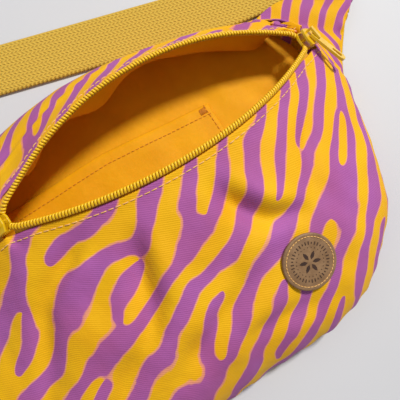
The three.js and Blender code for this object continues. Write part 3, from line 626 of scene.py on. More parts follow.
# ---- cloth relief ----
DENTS = (  # x, y, half-width, half-height, lean in degrees, depth
    (35, -3, 10, 4.5, -85, -5.0), (41, -17, 10, 4.5, -62, -5.5), (53, -27, 11, 4.5, -18, -4.2),
    (45, -6, 12, 5, -70, 2.2), (54, -18, 12, 5, -35, 2.0), (-31, 12, 22, 5, 28, -6.0),
    (-34, 2, 20, 5, 28, 2.0),
    (-13, -12, 5.5, 20, -22, -6.5), (-4, -16, 6, 18, -22, 2.2), (16, 8, 7, 16, -30, 2.2),
    (24, -26, 24, 6, 48, -3.2),
    (86, 0, 26, 4.5, 58, -3.4), (8, -50, 34, 6, 18, -3.6), (10, -61, 34, 6, 18, 1.5),
    (-66, -16, 24, 6, 58, -4.5),
    (-75, -24, 22, 5, 58, 2.0), (72, -46, 8, 22, 25, 2.0), (-44, -50, 26, 5, 35, -3.6),
    (62, 14, 16, 5, 50, -3.2),
    (-88, 6, 12, 20, 30, -2.4), (30, -66, 20, 5, -12, -2.4), (-20, -34, 18, 5, 50, -3.0))


def relief(x, y, v, arc):
    height = 0.0
    for cx, cy, a, b, lean, depth in DENTS:
        c, s = math.cos(math.radians(lean)), math.sin(math.radians(lean))
        p, q = (x - cx) * c + (y - cy) * s, -(x - cx) * s + (y - cy) * c
        height += depth * math.exp(-(p / a) ** 2 - (q / b) ** 2)
    height += 2.2 * cloth_noise(x * 0.021, y * 0.021, 3.7)
    height += 1.5 * cloth_noise(x * 0.055, y * 0.045, 9.1)
    height += 0.45 * cloth_noise(x * 0.13, y * 0.10, 4.1)
    height *= float(smooth(2, 26, arc))
    height *= float(1 - 0.85 * smooth(0.86, 1.0, v))
    pucker = math.sin(x * 0.43 + y * 0.37 + 2.0 * cloth_noise(x * 0.05, y * 0.05, 0.3))
    height += 0.55 * pucker * float(smooth(0.80, 0.95, v) * (1 - smooth(0.97, 1.0, v)))
    height += 0.18 * math.sin(x * 0.9) * float(smooth(0.5, 2.5, arc) * (1 - smooth(4, 10, arc)))
    return height


def arc_lengths(column):
    steps = np.linalg.norm(np.diff(column, axis=0), axis=1)
    return np.concatenate(([0.0], np.cumsum(steps)))


def spread(count, pull):
    """Rows from 0 to 1, closer together at both ends."""
    t = np.linspace(0, 1, count)
    return mix(t, 0.5 - 0.5 * np.cos(math.pi * t), pull)


front_v = spread(84, 0.55)
front_u = np.concatenate((np.linspace(-LAST_COLUMN, -6.03, 26), np.linspace(-6, 6, 190),
    np.linspace(6.03, LAST_COLUMN, 26)))
front_base = np.array([front_column(u, front_v) for u in front_u])
front_base[:, -1, 2] -= 0.9


def even_out(grid, rows, first, last, most):
    """Relaxes the cloth across its width, more the further a row is from the zip."""
    for j, v in enumerate(rows):
        line = grid[:, j].copy()
        for _ in range(int(most * smooth(0.01, 0.3, v))):
            before, after = line[first - 1:last - 1], line[first + 1:last + 1]
            line[first:last] = (before + 2 * line[first:last] + after) / 4
        grid[:, j] = line


even_out(front_base, front_v, 34, len(front_u) - 34, 60)
for i, u in enumerate(front_u):
    if abs(u) <= WING_COLUMN:
        x = mirror_of(u) * inner_x(abs(u))[0]
        opened = float(smooth(1, 9, arch_height(x))) if OPEN_LEFT[0] < x < OPEN_RIGHT[0] else 0.0
        reach = zip_station(-1, x)[2] * 2.2 * opened
        for j in range(8):
            front_base[i, j] -= reach * (1 - j / 8) ** 2
front_normals = grid_normals(front_base, -1.0)
front_grid = front_base.copy()
front_uv = np.zeros(front_base.shape[:2] + (2,))
for i in range(len(front_u)):
    arcs = arc_lengths(front_base[i])
    for j, v in enumerate(front_v):
        x, y = front_base[i, j, :2]
        front_grid[i, j] += front_normals[i, j] * relief(x, y, v, arcs[j])
        front_uv[i, j] = (x, 38.0 - arcs[j] - max(0.0, abs(front_u[i]) - 6) * 3)
front_normals = grid_normals(front_grid, -1.0)
front = dress(thick_sheet("front_cloth", front_grid, front_normals, FABRIC, front_uv), print_front)
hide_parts("front_panel")
bend_with(front, "front_lip", FRONT_RAMPS)

top_v = spread(44, 0.4)
top_u = np.linspace(-5.9, 5.9, 150)
top_base = np.array([top_column(u, top_v) for u in top_u])
top_normals = grid_normals(top_base)
top_grid = top_base.copy()
top_uv = np.zeros(top_base.shape[:2] + (2,))
for i in range(len(top_u)):
    arcs = arc_lengths(top_base[i])
    for j, v in enumerate(top_v):
        x, y = top_base[i, j, :2]
        ridge = 0.9 * math.exp(-((arcs[j] - 15) / 1.6) ** 2) - 0.8 * math.exp(-((arcs[j] - 19) / 2.4) ** 2)
        lumps = 1.3 * cloth_noise(x * 0.03, y * 0.05, 5.5) * float(smooth(3, 18, arcs[j]))
        top_grid[i, j] += top_normals[i, j] * (ridge + lumps) * float(1 - smooth(0.86, 1.0, v))
        top_uv[i, j] = (x, arcs[j] - 42.0)
top_normals = grid_normals(top_grid)
top = dress(thick_sheet("top_cloth", top_grid, top_normals, FABRIC, top_uv), print_top)
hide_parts("top_panel")
bend_with(top, "back_lip", BACK_RAMPS)

back_v = np.linspace(0, 1, 30)
back_u = np.linspace(-7, 7, 90)
back_grid = np.array([back_column(u, back_v) for u in back_u])
back_uv = back_grid[:, :, :2].copy()
back = dress(thick_sheet("back_cloth", back_grid, grid_normals(back_grid, -1.0), BACK_FABRIC, back_uv),
    print_back)
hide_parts("back_panel")
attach(back, "bag")

# ---- lining: front sheet, sheet behind the upper lip, floor, slip pocket ----
lining_u = np.linspace(-LINING_REACH, LINING_REACH, 124)
lining_v = np.linspace(0.02, 0.93, 60)
lining_base = np.array([front_column(u, lining_v) for u in lining_u])
even_out(lining_base, lining_v, 8, len(lining_u) - 8, 30)
lining_normals = grid_normals(lining_base, -1.0)
lining_grid = lining_base.copy()
lining_uv = np.zeros(lining_base.shape[:2] + (2,))
for i in range(len(lining_u)):
    arcs = arc_lengths(lining_base[i])
    for j in range(len(lining_v)):
        x, y, z = lining_base[i, j]
        fold = 1.2 * cloth_noise(x * 0.05, arcs[j] * 0.03, 1.5)
        fold += 0.6 * cloth_noise(x * 0.14, arcs[j] * 0.09, 2.5)
        under = relief(x, y, lining_v[j], arcs[j]) - LINING_GAP - 1.9 * float(smooth(0, 8, arcs[j]))
        slack = max(fold + 0.6, 0.0) * float(smooth(2, 14, arcs[j]))
        lining_grid[i, j] += lining_normals[i, j] * (under - slack)
        lining_uv[i, j] = (x, arcs[j])
lining_front = thick_sheet("lining_front_cloth", lining_grid, grid_normals(lining_grid, -1.0), LINING,
    lining_uv)
dress(lining_front, mustard)
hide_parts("lining_front")
bend_with(lining_front, "front_lip", FRONT_RAMPS)

strip_v = np.linspace(0.0, 0.985, 60)
strip_base = np.array([top_column(u, strip_v) for u in lining_u])
strip_normals = grid_normals(strip_base)
strip_grid = strip_base.copy()
strip_uv = np.zeros(strip_base.shape[:2] + (2,))
for i in range(len(lining_u)):
    arcs = arc_lengths(strip_base[i])
    for j in range(len(strip_v)):
        x = strip_base[i, j, 0]
        wave = 0.5 + 0.5 * math.sin(x * 0.085 + 1.2 * math.sin(x * 0.037))
        ripple = 1.6 * cloth_noise(x * 0.05, arcs[j] * 0.05, 4.4) * float(smooth(3, 12, arcs[j]))
        inset = LINING_GAP + 1.6 * float(smooth(0, 8, arcs[j])) + max(ripple, 0.0)
        close = strip_base[i, j] - strip_normals[i, j] * inset
        hung = strip_base[i, 0] + vec(0, -1.0 - 0.16 * arcs[j], -1.5 - 0.9 * arcs[j])
        opened = float(smooth(4, 18, arch_height(x))) if OPEN_LEFT[0] < x < OPEN_RIGHT[0] else 0.0
        drop = opened * (0.35 + 0.6 * wave) * float(1 - smooth(11 + 5 * wave, 19 + 9 * wave, arcs[j]))
        strip_grid[i, j] = mix(close, hung, drop * float(smooth(0, 3, arcs[j])))
        strip_uv[i, j] = (x, -arcs[j])
lining_strip = thick_sheet("lining_back_strip", strip_grid, grid_normals(strip_grid), LINING, strip_uv)
dress(lining_strip, mustard)
bend_with(lining_strip, "back_lip", BACK_RAMPS)

floor_u = np.linspace(-LINING_REACH, LINING_REACH, 114)
floor_v = np.linspace(0.012, 0.975, 72)
floor_grid = np.array([back_column(u, floor_v, FLOOR_INSET) for u in floor_u])
for i in range(len(floor_u)):
    for j in range(len(floor_v)):
        x, y = floor_grid[i, j, :2]
        swell = cloth_noise(x * 0.035, y * 0.035, 7.7) + 0.5 * cloth_noise(x * 0.09, y * 0.09, 8.8)
        floor_grid[i, j, 2] = 2.3 + max(0.0, 1.6 * swell)
lining_floor = thick_sheet("lining_floor", floor_grid, grid_normals(floor_grid, -1.0), LINING,
    floor_grid[:, :, :2].copy())
dress(lining_floor, mustard)
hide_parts("lining_back")
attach(lining_floor, "bag")

pocket_rows = 34
pocket_grid = np.zeros((60, pocket_rows, 3))
for i, a in enumerate(np.linspace(0, 1, 60)):
    x = mix(POCKET_LEFT, POCKET_RIGHT, a)
    top_y = POCKET_TOP if x < 0 else POCKET_TOP - POCKET_SLOPE * x / POCKET_SLOPE_END
    for j, b in enumerate(np.linspace(0, 1, pocket_rows)):
        y = mix(POCKET_BOTTOM, top_y, b)
        gape = 1.4 * math.exp(-((b - 1) / 0.18) ** 2) * math.sin(math.pi * a) ** 2
        pocket_grid[i, j] = (x, y, POCKET_HEIGHT + gape + 0.7 * cloth_noise(x * 0.06, y * 0.06, 6.6))
pocket_normals = grid_normals(pocket_grid)
pocket = thick_sheet("slip_pocket_cloth", pocket_grid, pocket_normals, LINING, pocket_grid[:, :, :2].copy())
dress(pocket, mustard)
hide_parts("slip_pocket")
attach(pocket, "bag")


def line_places(line, facing, step):
    """Evenly spaced places along a line on a sheet."""
    arcs = arc_lengths(line)
    places = []
    for s in np.arange(step / 2, arcs[-1], step):
        k = min(int(np.searchsorted(arcs, s)) - 1, len(line) - 2)
        w = (s - arcs[k]) / max(arcs[k + 1] - arcs[k], 1e-9)
        places.append((mix(line[k], line[k + 1], w), unit(mix(facing[k], facing[k + 1], w)),
            unit(line[k + 1] - line[k])))
    return places


hem_row = pocket_rows - 3
hem_line = line_places(pocket_grid[:, hem_row], pocket_normals[:, hem_row], HEM_PITCH)
hem = stitches("pocket_hem_stitches", hem_line, HEM_STITCH, HEM_THREAD)
side = line_places(pocket_grid[-2], pocket_normals[-2], HEM_PITCH)
hem_side = stitches("pocket_side_stitches", side, HEM_STITCH, HEM_THREAD)
bar_tack = stitches("pocket_bar_tack", [
    (pocket_grid[-3, -2] + vec(-1.6 + 0.45 * k, 0.25 * (k % 2), 0.1), vec(0, 0, 1), vec(0, 1, 0))
    for k in range(8)], 3.2, HEM_THREAD)
for made in (hem, hem_side, bar_tack):
    dress(made, thread_gold)
    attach(made, "bag")


# ---- sewing on the panels ----
def at_arc(grid, normals, i, distance):
    arcs = arc_lengths(grid[i])
    k = min(int(np.searchsorted(arcs, distance)), len(arcs) - 1)
    w = (distance - arcs[k - 1]) / (arcs[k] - arcs[k - 1])
    return mix(grid[i, k - 1], grid[i, k], w), unit(mix(normals[i, k - 1], normals[i, k], w))


def seam_line(grid, normals, distance, first, last):
    found = [at_arc(grid, normals, i, distance) for i in range(first, last)]
    return np.array([p for p, _ in found]), np.array([n for _, n in found])


middle_first, middle_last = 30, len(front_u) - 30
line, facing = seam_line(front_grid, front_normals, 2.6, middle_first, middle_last)
places = line_places(line, facing, TOPSTITCH_PITCH)
top_stitch = stitches("front_topstitch", places, TOPSTITCH, TOPSTITCH_THREAD)
dress(top_stitch, thread_pale)
bend_with(top_stitch, "front_lip", FRONT_RAMPS)
line, facing = seam_line(top_grid, top_normals, 2.4, 3, len(top_u) - 3)
places = line_places(line, facing, TOPSTITCH_PITCH)
back_stitch = stitches("top_topstitch", places, TOPSTITCH, TOPSTITCH_THREAD)
dress(back_stitch, thread_pale)
bend_with(back_stitch, "back_lip", BACK_RAMPS)
for word, rows in (("right", range(len(front_u) - 25, len(front_u) - 14)), ("left", range(24, 13, -1))):
    line = np.array([at_arc(front_grid, front_normals, i, 1.6)[0] for i in rows])
    facing = np.array([at_arc(front_grid, front_normals, i, 1.6)[1] for i in rows])
    places = line_places(line, facing, WING_PITCH)
    made = stitches(f"wing_stitches_{word}", places, WING_STITCH, WING_THREAD)
    dress(made, thread_dark)
    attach(made, "bag")


# ---- zip tapes and coils ----
def tape_grid(side, x0, x1, count):
    profile = ((1.2, -0.7), (2.2, -0.75), (3.2, -0.85), (4.4, -1.1), (6.0, -1.4), (7.4, -1.6))
    grid, uv = [], []
    for x in np.linspace(x0, x1, count):
        p, _, d, n = zip_station(side, x)
        grid.append([p + d * a + n * b for a, b in profile])
        uv.append([(x, a) for a, _ in profile])
    return np.array(grid), np.array(uv)


def coil_piece(name, side, x0, x1, phase):
    """The sewn nylon spiral of one half of the zip, with its core cord and its holding thread."""
    pitch, per_turn = COIL_PITCH, 10
    xs = np.linspace(x0, x1, 260)
    line = np.array([zip_point(side, x) for x in xs])
    arcs = arc_lengths(line)
    turns = int(arcs[-1] / pitch)
    points, faces, path, outward = [], [], [], []
    for k in range(turns * per_turn + 1):
        s = k / per_turn * pitch
        p, t, d, n = zip_station(side, float(np.interp(s, arcs, xs)))
        a = 2 * math.pi * k / per_turn + phase
        centre = p + d * 1.4 + n * 0.25
        ray = d * math.cos(a) * 1.25 + n * math.sin(a) * 0.85
        path.append(centre + ray)
        outward.append(unit(ray))
    tube(points, faces, path, outward, 0.32, 0.60, 6)
    core = [zip_station(side, x) for x in np.linspace(x0, x1, 120)]
    tube(points, faces, [p + d * 1.4 + n * 0.1 for p, _, d, n in core], [n for _, _, _, n in core], 0.55,
        0.5, 6)
    coil = new_object(name, points, faces)
    sewn = []
    for s in np.arange(pitch, arcs[-1] - pitch, pitch):
        p, t, d, n = zip_station(side, float(np.interp(s, arcs, xs)))
        sewn.append((p + d * 1.75 + n * 1.02, n, unit(d + t * 0.3)))
    thread = stitches(name + "_thread", sewn, 1.0, 0.16)
    return settle_normals(coil), thread


OPEN_FROM, OPEN_TO, CLOSED_TO = OPEN_LEFT[0] + 5.2, OPEN_RIGHT[0] - 5.0, OPEN_LEFT[0] - 2.5
for word, side, lip in (("front", -1, "front_lip"), ("back", 1, "back_lip")):
    for part, x0, x1, phase in (("open", OPEN_FROM, OPEN_TO, 0.0),
            ("closed", ZIP_LEFT_END, CLOSED_TO, math.pi * (side > 0))):
        grid, uv = tape_grid(side, x0, x1, 120 if part == "open" else 60)
        tape = thick_sheet(f"tape_{word}_{part}", grid, grid_normals(grid, side), 0.5, uv)
        dress(tape, tape_yellow)
        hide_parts(f"zip_tape_{word}_{part}")
        coil, thread = coil_piece(f"coil_{word}_{part}", side, x0, x1, phase)
        dress(coil, coil_yellow)
        dress(thread, thread_pale)
        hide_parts(f"zip_coil_{word}_{part}")
        for made in (tape, coil, thread):
            if part == "open":
                bend_with(made, lip, END_RAMPS)
            else:
                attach(made, "bag")


# ---- belt webbing ----
WEB_WIDTH, WEB = 25.0, 1.5
WING_TIP = (147.6, 54.7)
WING_EXIT_ANGLE = 50.0
WEB_Z, FOLD_RADIUS = 4.6, 1.8
BELT_POINT, BELT_ANGLE = vec(32, 101.2, 0), -15.75
BUCKLE_DISTANCE, BUCKLE_Z = 110.0, 4.9
BAR_X, MALE_BAR_X, WRAP = -28.2, 13.3, 2.6


def heading(angle):
    return vec(math.cos(math.radians(angle)), math.sin(math.radians(angle)), 0)


def left_of(d):
    return vec(-d[1], d[0], 0)


def centre_line(start, angle, parts):
    def at(s):
        p, facing, left = np.array(start, float), angle, s
        for length, turn in parts:
            used = min(max(left, 0.0), length)
            if turn == 0:
                p = p + heading(facing) * (left if left < 0 else used)
                if left < 0:
                    return p, facing
            elif used > 0:
                radius, swept = length / math.radians(turn), used / length * turn
                centre = p + left_of(heading(facing)) * radius
                p = centre - left_of(heading(facing + swept)) * radius
                facing += swept
            left -= used
            if left <= 0:
                return p, facing
        return p + heading(facing) * left, facing

    return at


def crossing(p, d, q, e):
    gap = q - p
    return (gap[0] * e[1] - gap[1] * e[0]) / (d[0] * e[1] - d[1] * e[0])


def folded_strip(before, fold_at, after, stretch):
    fold_point, facing = before(fold_at)
    d_a, d_b = heading(facing), heading(after(0)[1])
    n = unit(d_a - d_b)
    e = left_of(n)
    half = math.pi * FOLD_RADIUS / 2

    def at(s, t):
        sigma = s - fold_at
        local = d_a * sigma + left_of(d_a) * t
        q = local.dot(n)
        if q <= -half:
            p, face = before(s)
            p = p + left_of(heading(face)) * t
            return vec(p[0], p[1], WEB_Z)
        if q >= half:
            p, face = after(sigma)
            p = p - left_of(heading(face)) * t
            return stretch(sigma, vec(p[0], p[1], WEB_Z - 2 * FOLD_RADIUS))
        turn = (q + half) / FOLD_RADIUS
        p = fold_point + e * local.dot(e) + n * (-half + FOLD_RADIUS * math.sin(turn))
        return vec(p[0], p[1], WEB_Z - FOLD_RADIUS * (1 - math.cos(turn)))

    return at


def fold_lean(before, fold_at, after):
    d_a = heading(before(fold_at)[1])
    n = unit(d_a - heading(after(0)[1]))
    return -left_of(d_a).dot(n) / d_a.dot(n)


def web_strip(name, path, stations):
    """Woven belt: stations are (distance, lean)."""
    across = np.linspace(-1, 1, 15)
    grid = np.zeros((len(stations), len(across), 3))
    uv = np.zeros((len(stations), len(across), 2))
    for i, (s, lean) in enumerate(stations):
        for j, k in enumerate(across):
            t = k * WEB_WIDTH / 2
            grid[i, j] = path(s + lean * t, t)
            uv[i, j] = (s + lean * t, t)
    normals = grid_normals(grid)
    return dress(thick_sheet(name, grid + normals * WEB / 2, normals, WEB, uv), webbing)


def fold_stations(start, fold_at, end, lean, step):
    near = [fold_at + q * 1.12 for q in np.linspace(-2.9, 2.9, 15)]
    before = list(np.linspace(start, fold_at - 9, max(3, int((fold_at - 9 - start) / step))))
    after = list(np.linspace(fold_at + 9, end, max(3, int((end - fold_at - 9) / step))))
    return [(s, lean * (1 - smooth(4, 22, abs(s - fold_at)))) for s in before + near + after]


buckle_x = heading(180 + BELT_ANGLE)
buckle_origin = BELT_POINT + buckle_x * BUCKLE_DISTANCE + vec(0, 0, BUCKLE_Z)


def on_belt(x):
    p = buckle_origin + buckle_x * x
    return vec(p[0], p[1], 0)


def smooth_profile(keys, count=160):
    """A rounded side profile through the keys, as evenly spaced [x, z] places and its length."""
    curve = keyed(keys)
    places = np.array([curve(u) for u in np.linspace(0, len(keys) - 1, count * 3)])
    arcs = np.concatenate(([0.0], np.cumsum(np.linalg.norm(np.diff(places, axis=0), axis=1))))

    def at(distance):
        return np.interp(distance, arcs, places[:, 0]), np.interp(distance, arcs, places[:, 1])

    return at, arcs[-1]


def wrap_arc(centre, start, end, steps):
    return [(centre + WRAP * math.cos(math.radians(a)), WRAP * math.sin(math.radians(a)))
            for a in np.linspace(start, end, steps + 1)]


# right part of the belt: wing, fold, run behind the pack, loop round the female half's bar
RETURN_LENGTH, RETURN_TURN = 90.0, 17.75
straight_from = vec(78, BELT_POINT[1] + (78 - BELT_POINT[0]) * math.tan(math.radians(BELT_ANGLE)), 0)
return_end, return_facing = centre_line(straight_from, BELT_ANGLE,
    [(RETURN_LENGTH, RETURN_TURN)])(RETURN_LENGTH)
right_tip = vec(*WING_TIP, 0)
right_exit = crossing(right_tip, heading(WING_EXIT_ANGLE), return_end, heading(return_facing))
right_before = centre_line(right_tip, WING_EXIT_ANGLE, [(right_exit, 0)])
right_fold = right_before(right_exit)[0]
straight_length = max((right_fold - return_end).dot(heading(return_facing)), 0.0)
right_after = centre_line(right_fold, return_facing + 180,
    [(straight_length + 0.01, 0), (RETURN_LENGTH, -RETURN_TURN)])
to_buckle = np.linalg.norm(straight_from - on_belt(0)) + RETURN_LENGTH + straight_length
loop_at, loop_length = smooth_profile(
    [(-60, -3.9), (-48, -3.9), (-40, -3.4), (-33, -2.5)] + wrap_arc(BAR_X, -90, 90, 6)
    + [(-33, 2.2), (-40, -0.6), (-44, -1.9), (-47, -2.1), (-50, -2.1)])
loop_start = to_buckle - 60


def right_stretch(sigma, point):
    if sigma <= loop_start:
        return point
    x, z = loop_at(min(sigma - loop_start, loop_length))
    flat = vec(point[0], point[1], 0) - BELT_POINT
    across = flat.dot(left_of(buckle_x))
    place = buckle_origin + buckle_x * x + left_of(buckle_x) * across
    return vec(place[0], place[1], BUCKLE_Z + z)


right_path = folded_strip(right_before, right_exit, right_after, right_stretch)
right_lean = fold_lean(right_before, right_exit, right_after)
stations = fold_stations(-6, right_exit, right_exit + loop_start - 4, right_lean, 5)
stations += [(s, 0.0) for s in np.linspace(right_exit + loop_start + 2,
    right_exit + loop_start + loop_length - 0.5, 90)]
web_right = web_strip("belt_right", right_path, stations)
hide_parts("webbing_right")
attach(web_right, "bag")

# left part: wing, fold, run to the male half
LEFT_STRAIGHT, LEFT_ARC, LEFT_TURN, LEFT_END_X = 10.0, 110.0, -22.0, 26.4
left_tip = vec(-WING_TIP[0], WING_TIP[1], 0)
left_parts = [(LEFT_STRAIGHT, 0), (LEFT_ARC, LEFT_TURN)]
arc_end, arc_facing = centre_line(left_tip, 180 - WING_EXIT_ANGLE, left_parts)(LEFT_STRAIGHT + LEFT_ARC)
left_reach = crossing(arc_end, heading(arc_facing), BELT_POINT, buckle_x)
left_before = centre_line(left_tip, 180 - WING_EXIT_ANGLE, left_parts + [(left_reach, 0)])
left_exit = LEFT_STRAIGHT + LEFT_ARC + left_reach
left_fold = left_before(left_exit)[0]
left_after = centre_line(left_fold, BELT_ANGLE, [(400, 0)])
left_run = np.linalg.norm(left_fold - on_belt(LEFT_END_X))


def left_stretch(sigma, point):
    return point + vec(0, 0, 1.4 * smooth(left_run - 11, left_run, sigma))


left_path = folded_strip(left_before, left_exit, left_after, left_stretch)
left_lean = fold_lean(left_before, left_exit, left_after)
left_stations = fold_stations(-6, left_exit, left_exit + left_run, left_lean, 5)
SPLIT = left_exit + 12
web_wing = web_strip("belt_left_wing", left_path,
    [place for place in left_stations if place[0] <= SPLIT + 1])
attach(web_wing, "bag")
web_run = web_strip("belt_left_run", left_path, [place for place in left_stations if place[0] >= SPLIT - 4])
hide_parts("webbing_left")
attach(web_run, "bag")
tuple(left_path(SPLIT - 3, 0) * MM)
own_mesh(web_run)

# tail round the male half's bar
tail_at, tail_length = smooth_profile(
    [(25.9, -2.6), (20, -2.6), (16.5, -2.65)] + wrap_arc(MALE_BAR_X, 270, 90, 6)
    + [(16.5, 2.65), (20, 2.6), (25, 2.45), (31, 0.6), (38, -1.9), (46, -2.15), (70, -2.15), (92, -2.15)])


def tail_path(s, t):
    x, z = tail_at(min(max(s, 0.0), tail_length))
    over = s - min(max(s, 0.0), tail_length)
    place = buckle_origin + buckle_x * (x + over * (-1 if s < 0 else 1)) + left_of(buckle_x) * t
    return vec(place[0], place[1], BUCKLE_Z + z)


web_tail = web_strip("belt_tail", tail_path, [(s, 0.0) for s in np.linspace(0.3, tail_length - 0.3, 110)])
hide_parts("webbing_tail")
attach(web_tail, "male_half")


# ---- round leather patch ----
def front_place(u, v):
    i = float(np.interp(u, front_u, np.arange(len(front_u))))
    j = float(np.interp(v, front_v, np.arange(len(front_v))))
    i0, j0 = min(int(i), len(front_u) - 2), min(int(j), len(front_v) - 2)
    a, b = i - i0, j - j0
    low = mix(front_grid[i0, j0], front_grid[i0 + 1, j0], a)
    high = mix(front_grid[i0, j0 + 1], front_grid[i0 + 1, j0 + 1], a)
    return mix(low, high, b)


PATCH_U, PATCH_V = 1.20, 0.51
patch_middle = front_place(PATCH_U, PATCH_V)
around = [front_place(PATCH_U + du, PATCH_V + dv)
    for du, dv in ((0.3, 0), (-0.3, 0), (0, 0.08), (0, -0.08))]
patch_normal = unit(np.cross(around[0] - around[1], around[2] - around[3]))
if patch_normal[2] < 0:
    patch_normal = -patch_normal
patch_x = unit(np.cross(patch_normal, vec(-0.549, -0.829, 0)) * -1)
patch_y = np.cross(patch_normal, patch_x)
patch_base = patch_middle + patch_normal * 0.7


def on_patch(x, y, z):
    return patch_base + patch_x * x + patch_y * y + patch_normal * z


def disc(name, rings, segments=96):
    """A turned shape from rings of (radius, height), closed at both ends."""
    points, uvs, faces = [], [], []
    for radius, height in rings:
        for k in range(segments):
            a = 2 * math.pi * k / segments
            x, y = radius * math.cos(a), radius * math.sin(a)
            points.append(on_patch(x, y, height))
            uvs.append((x, y))
    for r in range(len(rings) - 1):
        for k in range(segments):
            m = (k + 1) % segments
            faces.append((r * segments + k, r * segments + m, (r + 1) * segments + m,
                (r + 1) * segments + k))
    faces.append(tuple(reversed(range(segments))))
    faces.append(tuple((len(rings) - 1) * segments + k for k in range(segments)))
    return settle_normals(new_object(name, points, faces, uvs))


patch = disc("leather_disc", (
    (12.3, -0.8), (13.0, -0.5), (13.1, 0.3), (12.9, 0.75), (12.5, 0.9), (11.9, 0.88), (11.3, 0.72),
    (10.8, 0.8), (6, 0.84), (0.4, 0.85)))
dress(patch, leather)
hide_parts("leather_patch")
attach(patch, "bag")
ring = []
for k in range(44):
    a = 2 * math.pi * k / 44
    ring.append((on_patch(11.35 * math.cos(a), 11.35 * math.sin(a), 0.78), patch_normal,
                 patch_x * -math.sin(a) + patch_y * math.cos(a)))
patch_ring = dress(stitches("patch_stitches", ring, 1.15, 0.2), thread_pale)
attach(patch_ring, "bag")


def stamp(name, outlines):
    """Low raised shapes on the patch, each a flat outline turned into a thin solid."""
    points, faces = [], []
    for outline in outlines:
        base, n = len(points), len(outline)
        points += [on_patch(x, y, 0.78) for x, y in outline] + [on_patch(x, y, 0.96) for x, y in outline]
        faces.append(tuple(base + k for k in reversed(range(n))))
        faces.append(tuple(base + n + k for k in range(n)))
        faces += [(base + k, base + (k + 1) % n, base + n + (k + 1) % n, base + n + k) for k in range(n)]
    return settle_normals(new_object(name, points, faces, smooth_shade=False))


def dash(radius, angle, length, width):
    c, s = math.cos(angle), math.sin(angle)
    box = ((-1, -1), (1, -1), (1, 1), (-1, 1))
    return [(c * (radius + a * length / 2) - s * b * width / 2,
        s * (radius + a * length / 2) + c * b * width / 2) for a, b in box]


petals = []
for k in range(6):
    a = math.pi / 3 * k + 0.26
    petal = [(1.2, 0), (2.6, 0.85), (4.1, 0.7), (5.3, 0), (4.1, -0.7), (2.6, -0.85)]
    petals.append([(x * math.cos(a) - y * math.sin(a), x * math.sin(a) + y * math.cos(a))
        for x, y in petal])
ticks = [dash(8.6, 2 * math.pi * k / 36, 1.5 if k % 3 else 0.8, 0.42) for k in range(36)]
ticks += [dash(6.6, 2 * math.pi * k / 24, 0.35, 0.35) for k in range(24)]
motif = dress(stamp("patch_motif", petals + ticks), dark_tan)
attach(motif, "bag")


# ---- sliders, pullers and buckle: softened copies of the frame's solids ----
def softened(node, width, material, segments=3):
    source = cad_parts[node]
    mesh = source.data.copy()
    mesh.name = node + "_soft"
    obj = bpy.data.objects.new(node + "_soft", mesh)
    bpy.context.scene.collection.objects.link(obj)
    obj.matrix_world = source.matrix_world
    bm = bmesh.new()
    bm.from_mesh(mesh)
    bmesh.ops.remove_doubles(bm, verts=bm.verts, dist=1e-6)
    bmesh.ops.dissolve_limit(bm, angle_limit=math.radians(1.0), verts=bm.verts, edges=bm.edges)
    bmesh.ops.recalc_face_normals(bm, faces=bm.faces)
    bm.to_mesh(mesh)
    bm.free()
    bevel = obj.modifiers.new("edges", "BEVEL")
    bevel.width, bevel.segments = width * MM, segments
    bevel.limit_method, bevel.angle_limit = "ANGLE", math.radians(25)
    bevel.use_clamp_overlap = True
    mesh.polygons.foreach_set("use_smooth", [True] * len(mesh.polygons))
    obj.modifiers.new("shading", "WEIGHTED_NORMAL")
    dress(obj, material)
    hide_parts(node)
    return obj


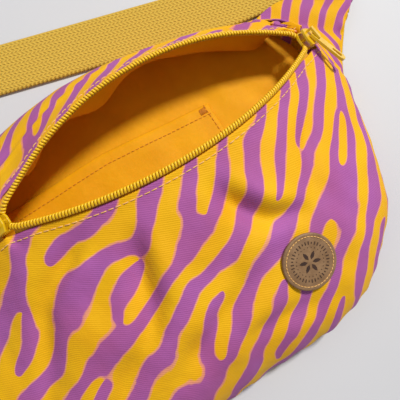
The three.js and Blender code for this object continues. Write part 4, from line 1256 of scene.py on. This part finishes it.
for node, body, width in (
        ("zip_slider_right", "slider_right", 0.45), ("zip_slider_left", "slider_left", 0.45),
        ("zip_puller_right", "puller_right", 0.4), ("zip_puller_left", "puller_left", 0.4)):
    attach(softened(node, width, enamel), body)
for node, body, width in (
        ("buckle_female", "bag", 0.7), ("buckle_male", "male_half", 0.6),
        ("buckle_prong_left", "prong_left", 0.5), ("buckle_prong_right", "prong_right", 0.5)):
    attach(softened(node, width, plastic), body)

# ---- floor, light and camera ----
bpy.ops.mesh.primitive_plane_add(size=FLOOR_SIZE, location=(0, 0, -FLOOR_DROP))
floor = bpy.context.object
floor.name = "pale_floor"
floor.data.materials.append(floor_material())

world = bpy.data.worlds.new("studio")
bpy.context.scene.world = world
world.use_nodes = True
world.node_tree.nodes["Background"].inputs["Color"].default_value = WORLD_COLOR
world.node_tree.nodes["Background"].inputs["Strength"].default_value = WORLD_STRENGTH


def area_light(name, place, target, size, power, color):
    data = bpy.data.lights.new(name, "AREA")
    data.shape, data.size, data.energy, data.color = "DISK", size, power, color
    light = bpy.data.objects.new(name, data)
    bpy.context.scene.collection.objects.link(light)
    light.location = place
    light.rotation_mode = "QUATERNION"
    light.rotation_quaternion = (Vector(target) - Vector(place)).to_track_quat("-Z", "Y")
    return light


area_light("key", (1.40, 0.62, 2.14), (0.02, 0.0, 0.02), KEY_SIZE, KEY_POWER, (1.0, 0.985, 0.96))
area_light("fill", (-0.5, 0.5, 0.9), (0.0, 0.0, 0.02), FILL_SIZE, FILL_POWER, (0.93, 0.96, 1.0))

CAMERA = vec(3.74, -13.56, 257.28)
FORWARD, UP, RIGHT = vec(0.1005, 0.0586, -0.9932), vec(0.5491, 0.8292, 0.1045), vec(0.8297, -0.5558, 0.0512)
lens = bpy.data.cameras.new("camera")
lens.lens, lens.sensor_width, lens.sensor_fit = 44.88, 36.0, "AUTO"
lens.clip_start, lens.clip_end = 0.01, 20.0
camera = bpy.data.objects.new("camera", lens)
bpy.context.scene.collection.objects.link(camera)
turn = Matrix((tuple(RIGHT), tuple(UP), tuple(-FORWARD))).transposed().to_4x4()
camera.matrix_world = Matrix.Translation(Vector(tuple(CAMERA * MM))) @ turn
bpy.context.scene.camera = camera
bpy.context.scene.view_settings.view_transform = "Standard"
